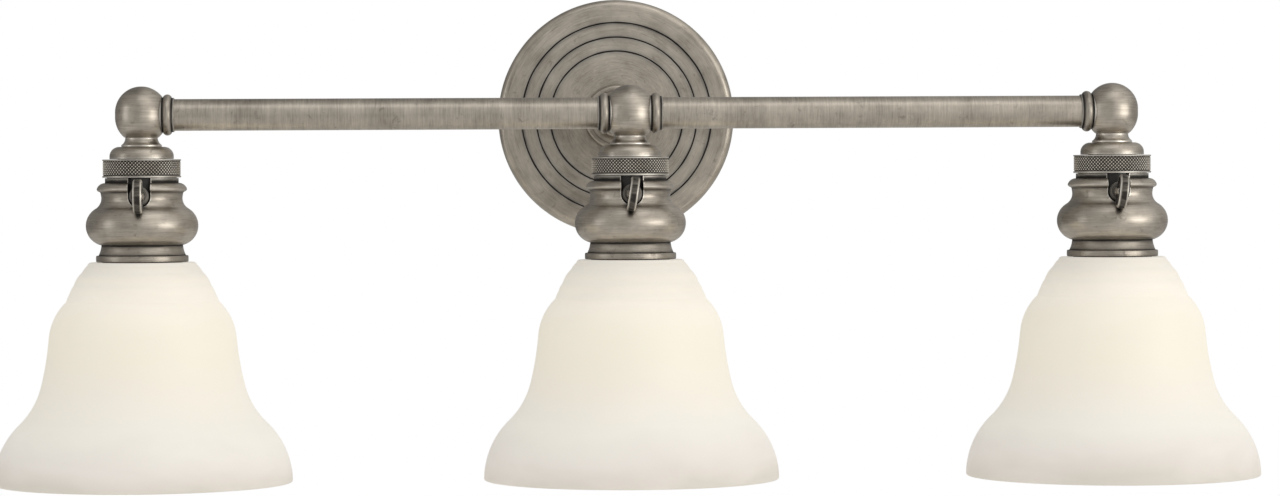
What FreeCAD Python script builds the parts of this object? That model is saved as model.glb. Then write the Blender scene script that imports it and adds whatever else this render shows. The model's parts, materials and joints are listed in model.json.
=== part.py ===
"""Vanity light bar: a round backplate, a bar of two tubes between three balls, and three hanging lamp heads.

Each lamp head has a keyed socket, a knurled coupling ring, a shade holder, a bell of opal glass and a bulb.
The origin is the centre of the backplate's back edge, on the wall. X runs along the bar, -Y points out of
the wall into the room, and Z is up. All sizes are in millimetres.
"""

import FreeCAD, Part
import math
import os
import re

import Sketcher

# Driving dimensions. "drop" values are measured down from the bar's axis, radii from a piece's own axis.
SIZES = {
    # layout
    "lamp_spacing": 245,
    "bar_reach": 160,
    # backplate and its fixing
    "plate_radius": 63.5,
    "plate_depth": 19,
    "plate_wall": 1.5,
    "plate_edge": 4,
    "plate_hole_gap": 0.3,
    "groove_width": 0.8,
    "groove_depth": 0.7,
    "outer_groove": 51.2,
    "middle_groove": 43.3,
    "inner_groove": 35.8,
    "strap_length": 106,
    "strap_height": 18,
    "strap_thickness": 2,
    "box_spacing": 88.9,
    "box_slot_length": 11,
    "box_slot_width": 4.4,
    "stud_spacing": 69.85,
    "stud_radius": 2.05,
    "stud_gap": 0.15,
    "stud_grip": 6,
    "cap_nut_radius": 4.9,
    "cap_nut_base": 3.4,
    "wire_hole_radius": 6.6,
    "ground_place": 20,
    "ground_radius": 1.9,
    "ground_head_radius": 3.8,
    "ground_head_height": 2.6,
    # arm from the plate to the middle ball
    "flange_radius": 17.3,
    "flange_height": 3.2,
    "flange_bead": 1.3,
    "flange_step_radius": 14.4,
    "flange_collar_radius": 10.8,
    "flange_collar_height": 9,
    "flange_floor": 2.4,
    "arm_nipple_radius": 6.5,
    "arm_nipple_bore": 5,
    "arm_nipple_tail": 7.4,
    "arm_nut_radius": 10.5,
    "arm_nut_height": 4,
    # bar tubes, balls and collars
    "tube_radius": 7.95,
    "tube_wall": 1,
    "fit_gap": 0.05,
    "ball_radius": 13.1,
    "ball_waist": 2.5,
    "ball_wall": 2.5,
    "ball_floor": 3.4,
    "ball_seat": 11.3,
    "ball_flat": 9.4,
    "tube_insertion": 1.2,
    "collar_ring_radius": 9.25,
    "collar_ring_width": 1,
    "collar_neck_radius": 8.6,
    "collar_neck_width": 0.5,
    "collar_bead_radius": 10.3,
    "collar_bead_width": 4.2,
    "collar_bead_rise": 1.3,
    "collar_lip_width": 0.8,
    # lamp head above the coupling ring
    "nipple_radius": 4.95,
    "nipple_bore": 3.3,
    "nipple_top": 6,
    "nipple_grip": 2.4,
    "neck_top_radius": 8.1,
    "neck_height": 4.6,
    "neck_foot_radius": 10.1,
    "neck_foot": 0.9,
    "neck_cove": 4.2,
    "dome_top_radius": 11.2,
    "dome_radius": 16,
    "dome_height": 6.1,
    "dome_hub_radius": 12,
    "ring_play": 0.2,
    "carrier_thickness": 2,
    # knurled coupling ring
    "ring_radius": 19.6,
    "ring_height": 9.1,
    "ring_top_wall": 2.8,
    "ring_top_lip": 0.7,
    "ring_foot_lip": 0.9,
    "knurl_relief": 0.3,
    "thread_radius": 17.4,
    "carrier_gap": 0.4,
    "hub_gap": 0.35,
    # shade holder
    "holder_wall": 1.2,
    "holder_neck_radius": 18.35,
    "holder_neck_height": 2.5,
    "ridge_radius": 22.5,
    "ridge_height": 4.4,
    "ridge_top_round": 4.2,
    "ridge_foot_height": 1.3,
    "ridge_foot_round": 1.6,
    "cove_radius": 20.2,
    "cove_height": 3.2,
    "cove_lip": 0.9,
    "cove_line": 0.5,
    "cove_round": 6.1,
    "bulge_radius": 28,
    "bulge_round": 10,
    "bulge_foot_radius": 20.3,
    "flare_height": 5.2,
    "flare_rise": 1.5,
    "flare_round": 14,
    "flange_foot_width": 1.2,
    "flange_foot_height": 3.2,
    "flange_foot_round": 0.5,
    "sleeve_step": 0.4,
    "sleeve_length": 9,
    "slot_width": 11.2,
    "slot_drop": 46.4,
    # socket and switch
    "socket_radius": 16,
    "socket_length": 49,
    "socket_wall": 1.9,
    "socket_ledge": 0.6,
    "key_drop": 40.6,
    "boss_radius": 3.8,
    "boss_reach": 21.5,
    "stem_radius": 2.2,
    "stem_inner_end": 6,
    "paddle_height": 17.2,
    "paddle_thickness": 2.3,
    "paddle_start": 24,
    "paddle_depth": 12.5,
    "paddle_round": 8,
    "paddle_eye_radius": 1,
    "paddle_eye_inset": 2.2,
    "stem_overlap": 3,
    "stem_end_gap": 0.5,
    "left_key_tilt": 0,
    "centre_key_tilt": 9,
    "right_key_tilt": 6.5,
    "shell_wall": 0.5,
    "shell_gap": 0.15,
    "shell_length": 25.5,
    "contact_radius": 4,
    "contact_thickness": 0.6,
    # bulb
    "bulb_base_radius": 13.03,
    "bulb_base_length": 24.6,
    "bulb_tip_radius": 4.7,
    "bulb_tip_rise": 3,
    "bulb_gap": 0.25,
    "bulb_neck_radius": 14,
    "bulb_radius": 30,
    "bulb_shoulder": 30,
    "bulb_length": 107,
    "bulb_wall": 1,
    # glass shade and what holds it
    "glass_wall": 3,
    "glass_gap": 0.2,
    "glass_hole_gap": 0.8,
    "glass_corner": 1.4,
    "glass_corner_ease": 1.3,
    "shoulder_margin": 6.6,
    "shoulder_round": 64,
    "shoulder_slope": 40,
    "first_bead_slope": 35.9,
    "second_bead_slope": 29,
    "third_bead_slope": 24.5,
    "shoulder_foot_slope": 21,
    "bead_round": 16,
    "bell_slope": 46,
    "bell_round": 29,
    "waist_slope": 5,
    "waist_round": 155,
    "skirt_slope": 14,
    "skirt_round": 40,
    "mouth_slope": 46,
    "mouth_round": 41.5,
    "gasket_margin": 3.3,
    "gasket_thickness": 1,
    "gasket_gap": 0.3,
    "retainer_margin": 0.6,
    "retainer_height": 4,
    # leads
    "lead_radius": 0.95,
    "lead_half_gap": 1.25,
    "lead_row_gap": 2.9,
    "lead_bend": 6.5,
    "lead_start": 8,
    "lead_drop": 31.5,
    "lead_end_gap": 0.3,
}

LAMPS = {"left": -1, "centre": 0, "right": 1}
ALONG_X = FreeCAD.Rotation(FreeCAD.Vector(0, 1, 0), 90)
AGAINST_X = FreeCAD.Rotation(FreeCAD.Vector(0, 1, 0), -90)
OUT_OF_WALL = FreeCAD.Rotation(FreeCAD.Vector(1, 0, 0), 90)
INTO_WALL = FreeCAD.Rotation(FreeCAD.Vector(1, 0, 0), -90)
UPRIGHT = FreeCAD.Rotation()

# Heights inside a lamp head, each a drop below the bar's axis that follows from the pieces above it.
DOME_TOP = "(ball_seat + neck_height)"
DOME_FOOT = f"({DOME_TOP} + dome_height)"
RING_TOP = f"({DOME_FOOT} + ring_play)"
RING_FOOT = f"({RING_TOP} + ring_height)"
CARRIER_TOP = f"({RING_TOP} + ring_top_wall + ring_play)"
CARRIER_FOOT = f"({CARRIER_TOP} + carrier_thickness)"
NIPPLE_FOOT = f"({CARRIER_FOOT} + nipple_grip)"
HOLDER_TOP = f"({RING_FOOT} + ring_play)"
RIDGE_TOP = f"({HOLDER_TOP} + holder_neck_height)"
RIDGE_FOOT = f"({RIDGE_TOP} + ridge_height)"
COVE_MIDDLE = f"({RIDGE_FOOT} + cove_height)"
ROUND_SUM = "(cove_round + bulge_round)"
BULGE_FALL = f"sqrt({ROUND_SUM}^2 - ({ROUND_SUM} - bulge_radius + cove_radius)^2)"
BULGE_MIDDLE = f"({COVE_MIDDLE} + {BULGE_FALL})"
BULGE_CENTRE = "(bulge_radius - bulge_round)"
BULGE_FOOT = f"({BULGE_MIDDLE} + sqrt(bulge_round^2 - (bulge_foot_radius - {BULGE_CENTRE})^2))"
FLARE_FOOT = f"({BULGE_FOOT} + flare_height)"
HOLDER_FOOT = f"({FLARE_FOOT} + flange_foot_height)"
SLEEVE_FOOT = f"({HOLDER_FOOT} + sleeve_length)"
GLASS_TOP = f"({HOLDER_FOOT} + glass_gap)"
GASKET_TOP = f"({GLASS_TOP} + glass_wall)"
RETAINER_TOP = f"({GASKET_TOP} + gasket_thickness)"
SOCKET_TOP = f"({CARRIER_FOOT} + ring_play)"
SOCKET_FOOT = f"({SOCKET_TOP} + socket_length)"
SHELL_TOP = f"({SOCKET_FOOT} - shell_length)"
CONTACT_FOOT = f"({SHELL_TOP} + contact_thickness)"
BULB_TIP = f"({CONTACT_FOOT} + bulb_gap)"
BULB_COLLAR = f"({BULB_TIP} + bulb_base_length)"
COLLAR_WIDTH = "(collar_ring_width + 2 * collar_neck_width + collar_bead_width + collar_lip_width)"
TUBE_END = "(ball_flat - tube_insertion)"
FLANGE_TOP = "(plate_depth + flange_height)"

# Radii inside a lamp head that follow from the foot of the holder's bulge.
FLARE_RADIUS = "(bulge_foot_radius + flare_rise)"
FLANGE_FOOT_RADIUS = f"({FLARE_RADIUS} + flange_foot_width)"
SLEEVE_RADIUS = "(bulge_foot_radius - sleeve_step)"
GLASS_HOLE_RADIUS = f"({SLEEVE_RADIUS} + glass_hole_gap)"
SHOULDER_RADIUS = f"({GLASS_HOLE_RADIUS} + shoulder_margin)"
GASKET_RADIUS = f"({GLASS_HOLE_RADIUS} + gasket_margin)"
RETAINER_RADIUS = f"({GASKET_RADIUS} + retainer_margin)"

doc = FreeCAD.newDocument("vanity_light_bar")
sheet = doc.addObject("Spreadsheet::Sheet", "Dims")
for row, (name, size) in enumerate(SIZES.items(), start=1):
    sheet.set(f"A{row}", name)
    sheet.set(f"B{row}", str(size))
    sheet.setAlias(f"B{row}", name)
doc.recompute()

WORD = re.compile(r"[a-z_]+")
nodes = []


def bound(expression):
    """Write each dimension named in an expression as a reference to its cell."""
    return WORD.sub(lambda word: "Dims." * (word.group() in SIZES) + word.group(), expression)


def number(expression):
    """Work out an expression's present value from the sheet."""
    return float(sheet.evalExpression(bound(expression)))


def place(piece, rotation, x="0", y="0", z="0"):
    """Turn a piece, and tie its origin to expressions."""
    piece.Placement = FreeCAD.Placement(FreeCAD.Vector(number(x), number(y), number(z)), rotation)
    for letter, expression in zip("xyz", (x, y, z)):
        piece.setExpression(f"Placement.Base.{letter}", bound(expression))


def new_body(label, rotation=UPRIGHT, x="0", y="0", z="0"):
    body = doc.addObject("PartDesign::Body", "body_" + label)
    body.Label = label
    place(body, rotation, x, y, z)
    return body


def keep(piece):
    """List a finished piece as one of the part's nodes."""
    nodes.append(piece)
    return piece


def new_sketch(body, role):
    sketch = body.newObject("Sketcher::SketchObject", "outline")
    plane = next(item for item in body.Origin.OriginFeatures if item.Role == role)
    sketch.AttachmentSupport = (plane, [""])
    sketch.MapMode = "FlatFace"
    return sketch


def curve_between(start, end, radius):
    """A line, or the short arc of a radius that turns left when it is positive and right when negative."""
    if radius == 0:
        return Part.LineSegment(start, end)
    chord = end - start
    rise = math.sqrt(radius**2 - (chord.Length / 2) ** 2)
    side = FreeCAD.Vector(-chord.y, chord.x, 0).normalize()
    centre = (start + end) / 2 + side * rise * math.copysign(1, radius)
    first, last = (start, end) if radius > 0 else (end, start)
    angles = [math.atan2(point.y - centre.y, point.x - centre.x) for point in (first, last)]
    circle = Part.Circle(centre, FreeCAD.Vector(0, 0, 1), abs(radius))
    return Part.ArcOfCircle(circle, angles[0], angles[1])


def draw(sketch, outline):
    """Draw a closed outline of (across, up) points. A third value is the radius of the arc ending there."""
    corners = [FreeCAD.Vector(number(point[0]), number(point[1]), 0) for point in outline]
    bends = [number(point[2]) if len(point) > 2 else 0 for point in outline]
    curves = []
    for index, bend in enumerate(bends):
        curve = curve_between(corners[index - 1], corners[index], bend)
        curves.append(sketch.addGeometry(curve, False))
    ends = [1 if bend < 0 else 2 for bend in bends]
    for index, point in enumerate(outline):
        after = (index + 1) % len(outline)
        join = Sketcher.Constraint("Coincident", curves[index], ends[index], curves[after], 3 - ends[after])
        sketch.addConstraint(join)
        for kind, expression in zip(("DistanceX", "DistanceY"), point):
            value = number(expression)
            rule = Sketcher.Constraint(kind, -1, 1, curves[index], ends[index], value)
            sketch.setExpression(f"Constraints[{sketch.addConstraint(rule)}]", bound(expression))
        if bends[index]:
            rule = Sketcher.Constraint("Radius", curves[index], abs(bends[index]))
            size = bound(f"abs({point[2]})")
            sketch.setExpression(f"Constraints[{sketch.addConstraint(rule)}]", size)


def revolve(body, outline):
    """Turn an outline of (radius, height) points about the body's own axis."""
    sketch = new_sketch(body, "XZ_Plane")
    draw(sketch, outline)
    turned = body.newObject("PartDesign::Revolution", "turned")
    turned.Profile = (sketch, [""])
    turned.ReferenceAxis = (sketch, ["V_Axis"])
    turned.Angle = 360
    doc.recompute()
    return body


def drill(body, radius, length, rotation=UPRIGHT, x="0", y="0", z="0"):
    """Cut a round hole that starts at a point and runs along the turned Z axis."""
    before = body.Shape.Volume
    hole = body.newObject("PartDesign::SubtractiveCylinder", "hole")
    hole.setExpression("Radius", bound(radius))
    hole.setExpression("Height", bound(length))
    place(hole, rotation, x, y, z)
    doc.recompute()
    if body.Shape.Volume >= before:
        raise ValueError(f"a hole in {body.Label} cuts nothing")


def cut_profile(body, role, outline, length, backwards):
    """Cut an outline through a body from its origin plane to one side."""
    before = body.Shape.Volume
    sketch = new_sketch(body, role)
    draw(sketch, outline)
    pocket = body.newObject("PartDesign::Pocket", "cut")
    pocket.Profile = (sketch, [""])
    pocket.Reversed = backwards
    pocket.setExpression("Length", bound(length))
    doc.recompute()
    if body.Shape.Volume >= before:
        raise ValueError(f"a cut in {body.Label} cuts nothing")


def ring_outline(inner, outer, low, high):
    return [(inner, low), (outer, low), (outer, high), (inner, high)]


def group(label, bodies):
    """Join identical loose pieces in one node, each still a solid of its own."""
    compound = doc.addObject("Part::Compound", "group_" + label)
    compound.Label = label
    compound.Links = bodies
    return keep(compound)


def lamp_x(side):
    return f"{LAMPS[side]} * lamp_spacing"


def lamp_body(side, name):
    """A body whose origin is where a lamp's axis meets the bar's axis."""
    return keep(new_body(f"{side}_{name}", UPRIGHT, lamp_x(side), "-bar_reach"))


# ---------------------------------------------------------------- backplate and fixing


def make_backplate():
    """A spun disc with a rounded edge and three turned grooves, open at the back."""
    front = "plate_depth"
    hole = "(arm_nipple_radius + plate_hole_gap)"
    outline = [(hole, f"{front} - plate_wall"), ("plate_radius - plate_edge", f"{front} - plate_wall")]
    outline.append(("plate_radius - plate_wall", f"{front} - plate_edge", "plate_wall - plate_edge"))
    outline.append(("plate_radius - plate_wall", "0"))
    outline.append(("plate_radius", "0"))
    outline.append(("plate_radius", f"{front} - plate_edge"))
    outline.append(("plate_radius - plate_edge", front, "plate_edge"))
    for groove in ("outer_groove", "middle_groove", "inner_groove"):
        outline.append((f"{groove} + groove_width / 2", front))
        outline.append((groove, f"{front} - groove_depth"))
        outline.append((f"{groove} - groove_width / 2", front))
    outline.append((hole, front))
    plate = revolve(keep(new_body("backplate", OUT_OF_WALL)), outline)
    for side in (-1, 1):
        drill(plate, "stud_radius + stud_gap", "plate_depth", UPRIGHT, f"{side} * stud_spacing / 2")


def make_crossbar():
    """The steel strap on the wall box, with two slots, two stud holes, a ground hole and a wire hole."""
    strap = keep(new_body("crossbar", OUT_OF_WALL))
    sketch = new_sketch(strap, "XY_Plane")
    half_long, half_high = "strap_length / 2", "strap_height / 2"
    corners = [(f"-{half_long}", f"-{half_high}"), (half_long, f"-{half_high}")]
    draw(sketch, corners + [(half_long, half_high), (f"-{half_long}", half_high)])
    pad = strap.newObject("PartDesign::Pad", "blank")
    pad.Profile = (sketch, [""])
    pad.setExpression("Length", bound("strap_thickness"))
    doc.recompute()
    drill(strap, "wire_hole_radius", "strap_thickness")
    drill(strap, "ground_radius + fit_gap", "strap_thickness", UPRIGHT, "ground_place")
    half_width = "(box_slot_width / 2)"
    for side in (-1, 1):
        drill(strap, "stud_radius + fit_gap", "strap_thickness", UPRIGHT, f"{side} * stud_spacing / 2")
        middle = f"{side} * box_spacing / 2"
        straight = f"(box_slot_length / 2 - {half_width})"
        left, right = f"{middle} - {straight}", f"{middle} + {straight}"
        slot = [(right, f"-{half_width}"), (f"{right} + {half_width}", "0", half_width)]
        slot += [(right, half_width, half_width), (left, half_width)]
        slot += [(f"{left} - {half_width}", "0", half_width), (left, f"-{half_width}", half_width)]
        cut_profile(strap, "XY_Plane", slot, "strap_thickness", True)


def make_plate_fixing():
    """Two studs from the strap through the plate, their cap nuts, and the ground screw."""
    studs, caps = [], []
    for side, name in ((-1, "left"), (1, "right")):
        x = f"{side} * stud_spacing / 2"
        stud = new_body(f"stud_{name}", OUT_OF_WALL, x)
        studs.append(revolve(stud, ring_outline("0", "stud_radius", "0", "plate_depth + stud_grip")))
        cap = new_body(f"cap_nut_{name}", OUT_OF_WALL, x, "-plate_depth")
        dome = [("0", "cap_nut_base + cap_nut_radius", "cap_nut_radius"), ("0", "stud_grip + fit_gap")]
        dome += [("stud_radius + fit_gap", "stud_grip + fit_gap"), ("stud_radius + fit_gap", "0")]
        dome += [("cap_nut_radius", "0"), ("cap_nut_radius", "cap_nut_base")]
        caps.append(revolve(cap, dome))
    group("plate_studs", studs)
    group("cap_nuts", caps)
    screw = keep(new_body("ground_screw", OUT_OF_WALL, "ground_place"))
    head = "strap_thickness + ground_head_height"
    outline = [("0", "0"), ("ground_radius", "0"), ("ground_radius", "strap_thickness")]
    outline += [("ground_head_radius", "strap_thickness"), ("ground_head_radius", head), ("0", head)]
    revolve(screw, outline)


def make_arm():
    """The flange on the plate, the hollow nipple and nut that clamp it, and the tube to the middle ball."""
    nut = keep(new_body("arm_nut", OUT_OF_WALL, "0", "-(plate_depth - plate_wall)"))
    draw_hexagon_nut(nut, "arm_nut_radius", "arm_nut_height", "arm_nipple_radius + fit_gap")
    tail = "(plate_depth - arm_nipple_tail)"
    nipple_end = f"({FLANGE_TOP} + flange_floor)"
    nipple = keep(new_body("arm_nipple", OUT_OF_WALL))
    revolve(nipple, ring_outline("arm_nipple_bore", "arm_nipple_radius", tail, nipple_end))
    flange = keep(new_body("arm_flange", OUT_OF_WALL, "0", "-plate_depth"))
    floor = "flange_floor"
    seat = "(tube_radius + fit_gap)"
    bore = "(arm_nipple_radius + fit_gap)"
    top = "(flange_height + flange_collar_height)"
    outline = [(bore, "0"), ("flange_radius", "0"), ("flange_radius", "flange_height - flange_bead")]
    outline.append(("flange_radius - flange_bead", "flange_height", "flange_bead"))
    outline.append(("flange_step_radius", "flange_height"))
    outline.append(("flange_collar_radius", f"{top} - flange_bead", "-flange_collar_height"))
    outline.append(("flange_collar_radius - flange_bead", top, "flange_bead"))
    outline += [(seat, top), (seat, floor), (bore, floor)]
    revolve(flange, outline)
    tube = keep(new_body("arm_tube", OUT_OF_WALL))
    bottom = f"(plate_depth + {floor} + fit_gap)"
    inner = "tube_radius - tube_wall"
    revolve(tube, ring_outline(inner, "tube_radius", bottom, f"bar_reach - {TUBE_END}"))


def draw_hexagon_nut(body, radius, height, bore):
    """A hexagon across its corners, padded out and drilled."""
    sketch = new_sketch(body, "XY_Plane")
    corners = [(f"{radius} * cos({60 * turn})", f"{radius} * sin({60 * turn})") for turn in range(6)]
    draw(sketch, corners)
    pad = body.newObject("PartDesign::Pad", "blank")
    pad.Profile = (sketch, [""])
    pad.Reversed = True
    pad.setExpression("Length", bound(height))
    doc.recompute()
    drill(body, bore, height, UPRIGHT, "0", "0", f"-{height}")


# ---------------------------------------------------------------- bar


def make_bar():
    """Two tubes between the balls, and a turned collar wherever a tube or the arm meets a ball."""
    inner = "tube_radius - tube_wall"
    for side, rotation in (("left", AGAINST_X), ("right", ALONG_X)):
        tube = keep(new_body(f"{side}_bar_tube", rotation, "0", "-bar_reach"))
        revolve(tube, ring_outline(inner, "tube_radius", TUBE_END, f"lamp_spacing - {TUBE_END}"))
    collars = [make_collar("left_outer", ALONG_X, "-lamp_spacing")]
    collars.append(make_collar("left_inner", AGAINST_X, "0"))
    collars.append(make_collar("right_inner", ALONG_X, "0"))
    collars.append(make_collar("right_outer", AGAINST_X, "lamp_spacing"))
    collars.append(make_collar("arm", INTO_WALL, "0"))
    group("tube_collars", collars)


def make_collar(name, rotation, x):
    """A thin ring, a neck, a round bead and a lip, seated on the flat of a ball."""
    collar = new_body(f"collar_{name}", rotation, x, "-bar_reach")
    bore = "(tube_radius + fit_gap)"
    neck_start = "(ball_flat + collar_ring_width)"
    bead_start = f"({neck_start} + collar_neck_width)"
    bead_end = f"({bead_start} + collar_bead_width)"
    end = f"(ball_flat + {COLLAR_WIDTH})"
    outline = [(bore, "ball_flat"), ("collar_ring_radius", "ball_flat"), ("collar_ring_radius", neck_start)]
    outline += [("collar_neck_radius", neck_start), ("collar_neck_radius", bead_start)]
    shoulder = "(collar_bead_radius - collar_bead_rise)"
    bead_round = "((collar_bead_width^2 / 4 + collar_bead_rise^2) / (2 * collar_bead_rise))"
    outline.append((shoulder, bead_start))
    outline.append((shoulder, bead_end, bead_round))
    outline += [("collar_neck_radius", bead_end), ("collar_neck_radius", end), (bore, end)]
    return revolve(collar, outline)


def make_ball(side):
    """A hollow cast ball with a short straight waist, flat where a collar or the neck seats."""
    ball = lamp_body(side, "ball")
    waist = "ball_waist / 2"
    seat_radius = f"sqrt(ball_radius^2 - (ball_seat - {waist})^2)"
    inner = "(ball_radius - ball_wall)"
    floor = "(ball_seat - ball_floor)"
    floor_radius = f"sqrt({inner}^2 - ({floor} - {waist})^2)"
    bore = "(nipple_radius + fit_gap)"
    outline = [(bore, "-ball_seat"), (seat_radius, "-ball_seat"), ("ball_radius", f"-{waist}", "ball_radius")]
    outline += [("ball_radius", waist), ("0", f"ball_radius + {waist}", "ball_radius")]
    outline += [("0", f"{inner} + {waist}"), (inner, waist, f"-{inner}"), (inner, f"-{waist}")]
    outline += [(floor_radius, f"-{floor}", f"-{inner}"), (bore, f"-{floor}")]
    revolve(ball, outline)
    facing = {"left": [ALONG_X], "centre": [ALONG_X, AGAINST_X, INTO_WALL], "right": [AGAINST_X]}[side]
    for rotation in facing:
        out = rotation.multVec(FreeCAD.Vector(0, 0, 1))
        flat = [f"{round(part)} * ball_flat" for part in out]
        drill(ball, "collar_bead_radius", "ball_radius", rotation, *flat)
        drill(ball, "tube_radius + fit_gap", "ball_radius", rotation)


# ---------------------------------------------------------------- lamp heads


def make_neck(side):
    """The coved ring under the ball."""
    bore = "nipple_radius + fit_gap"
    foot = f"-{DOME_TOP}"
    outline = [(bore, foot), ("neck_foot_radius", foot), ("neck_foot_radius", f"{foot} + neck_foot")]
    outline += [("neck_top_radius", "-ball_seat", "-neck_cove"), (bore, "-ball_seat")]
    revolve(lamp_body(side, "neck_ring"), outline)


def make_dome_cap(side):
    """The domed cap over the coupling ring, with a hub that the ring turns on."""
    bore = "nipple_radius + fit_gap"
    corner = "(dome_radius - dome_top_radius)"
    outline = [(bore, f"-{CARRIER_TOP}"), ("dome_hub_radius", f"-{CARRIER_TOP}")]
    outline += [("dome_hub_radius", f"-{DOME_FOOT}"), ("dome_radius", f"-{DOME_FOOT}")]
    outline += [("dome_radius", f"-{DOME_TOP} - {corner}"), ("dome_top_radius", f"-{DOME_TOP}", corner)]
    outline.append((bore, f"-{DOME_TOP}"))
    revolve(lamp_body(side, "dome_cap"), outline)


def make_carrier(side):
    """The threaded disc on the nipple that keeps the coupling ring up and carries the socket."""
    outline = ring_outline(
        "nipple_radius + fit_gap", "thread_radius - carrier_gap", f"-{CARRIER_FOOT}", f"-{CARRIER_TOP}"
    )
    revolve(lamp_body(side, "carrier_disc"), outline)


def make_knurled_ring(side):
    """The coupling ring: an inward lip above, a plain bore for its thread, and a relieved knurl band."""
    band = "ring_radius - knurl_relief"
    lip_foot = f"-({RING_TOP} + ring_top_wall)"
    outline = [("thread_radius", f"-{RING_FOOT}"), ("ring_radius", f"-{RING_FOOT}")]
    outline += [("ring_radius", f"-{RING_FOOT} + ring_foot_lip"), (band, f"-{RING_FOOT} + ring_foot_lip")]
    outline += [(band, f"-{RING_TOP} - ring_top_lip"), ("ring_radius", f"-{RING_TOP} - ring_top_lip")]
    outline += [("ring_radius", f"-{RING_TOP}"), ("dome_hub_radius + hub_gap", f"-{RING_TOP}")]
    outline += [("dome_hub_radius + hub_gap", lip_foot), ("thread_radius", lip_foot)]
    revolve(lamp_body(side, "knurled_ring"), outline)


def make_holder(side):
    """The spun shade holder: threaded neck, ridge, cove, bulge and flange, slotted for the switch."""
    holder = lamp_body(side, "shade_holder")
    wall = "holder_wall"
    top = f"-({CARRIER_FOOT} + ring_play)"
    cove_share = f"(cove_round / {ROUND_SUM})"
    join_radius = f"(cove_radius + cove_round - {cove_share} * ({ROUND_SUM} - bulge_radius + cove_radius))"
    join_drop = f"({COVE_MIDDLE} + {cove_share} * {BULGE_FALL})"
    inner_bulge = f"(bulge_round - {wall})"
    inner_join_radius = f"(cove_radius + cove_round - (cove_round + {wall}) / {ROUND_SUM}"
    inner_join_radius += f" * ({ROUND_SUM} - bulge_radius + cove_radius))"
    inner_join_drop = f"({COVE_MIDDLE} + (cove_round + {wall}) / {ROUND_SUM} * {BULGE_FALL})"
    sleeve_bore = f"({SLEEVE_RADIUS} - holder_wall)"
    sleeve_start = f"({BULGE_MIDDLE} + sqrt({inner_bulge}^2 - ({sleeve_bore} - {BULGE_CENTRE})^2))"
    neck_bore = "(thread_radius - fit_gap - holder_wall)"
    outline = [("thread_radius - fit_gap", top), ("thread_radius - fit_gap", f"-{HOLDER_TOP}")]
    outline += [("holder_neck_radius", f"-{HOLDER_TOP}"), ("holder_neck_radius", f"-{RIDGE_TOP}")]
    outline.append(("ridge_radius", f"-{RIDGE_FOOT} + ridge_foot_height", "-ridge_top_round"))
    outline.append(("cove_radius + cove_lip", f"-{RIDGE_FOOT}", "-ridge_foot_round"))
    outline.append(("cove_radius + cove_lip - cove_line", f"-{RIDGE_FOOT} - cove_line"))
    outline.append(("cove_radius", f"-{COVE_MIDDLE}"))
    outline.append((join_radius, f"-{join_drop}", "cove_round"))
    outline.append(("bulge_radius", f"-{BULGE_MIDDLE}", "-bulge_round"))
    outline.append(("bulge_foot_radius", f"-{BULGE_FOOT}", "-bulge_round"))
    outline.append((FLARE_RADIUS, f"-{FLARE_FOOT}", "flare_round"))
    outline.append((f"{FLANGE_FOOT_RADIUS} - flange_foot_round", f"-{FLARE_FOOT}"))
    outline.append((FLANGE_FOOT_RADIUS, f"-{FLARE_FOOT} - flange_foot_round", "-flange_foot_round"))
    outline.append((FLANGE_FOOT_RADIUS, f"-{HOLDER_FOOT} + flange_foot_round"))
    outline.append((f"{FLANGE_FOOT_RADIUS} - flange_foot_round", f"-{HOLDER_FOOT}", "-flange_foot_round"))
    outline += [(SLEEVE_RADIUS, f"-{HOLDER_FOOT}"), (SLEEVE_RADIUS, f"-{SLEEVE_FOOT}")]
    outline += [(sleeve_bore, f"-{SLEEVE_FOOT}"), (sleeve_bore, f"-{sleeve_start}")]
    outline.append((f"bulge_radius - {wall}", f"-{BULGE_MIDDLE}", inner_bulge))
    outline.append((inner_join_radius, f"-{inner_join_drop}", inner_bulge))
    outline.append((f"cove_radius - {wall}", f"-{COVE_MIDDLE}", f"-(cove_round + {wall})"))
    outline += [(f"cove_radius - {wall}", f"-{RIDGE_TOP} - {wall}")]
    outline += [(neck_bore, f"-{RIDGE_TOP}"), (neck_bore, top)]
    revolve(holder, outline)
    half = "(slot_width / 2)"
    slot_centre = f"(slot_drop - {half})"
    slot = [(half, f"-{slot_centre}", half), (half, top), (f"-{half}", top), (f"-{half}", f"-{slot_centre}")]
    slot.append(("0", "-slot_drop", half))
    cut_profile(holder, "XZ_Plane", slot, "bulge_radius", True)


def make_socket(side):
    """The moulded socket body: a nipple seat above, a screw-shell cavity below, the switch boss in front."""
    body = lamp_body(side, "socket_body")
    shell_radius = "(bulb_base_radius + shell_gap + shell_wall + fit_gap)"
    outline = [("0", f"-{SHELL_TOP}"), (shell_radius, f"-{SHELL_TOP}"), (shell_radius, f"-{SOCKET_FOOT}")]
    outline += [("socket_radius", f"-{SOCKET_FOOT}"), ("socket_radius", f"-{SOCKET_TOP} - socket_ledge")]
    outline += [("socket_radius - socket_ledge", f"-{SOCKET_TOP}")]
    outline += [("nipple_radius + fit_gap", f"-{SOCKET_TOP}")]
    outline += [("nipple_radius + fit_gap", "-lead_drop"), ("0", "-lead_drop")]
    revolve(body, outline)
    boss = body.newObject("PartDesign::AdditiveCylinder", "switch_boss")
    boss.setExpression("Radius", bound("boss_radius"))
    boss.setExpression("Height", bound("boss_reach"))
    place(boss, OUT_OF_WALL, "0", "0", "-key_drop")
    doc.recompute()
    stem_end = "-stem_inner_end + stem_end_gap"
    drill(body, "stem_radius + fit_gap", "boss_reach", OUT_OF_WALL, "0", stem_end, "-key_drop")


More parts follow.
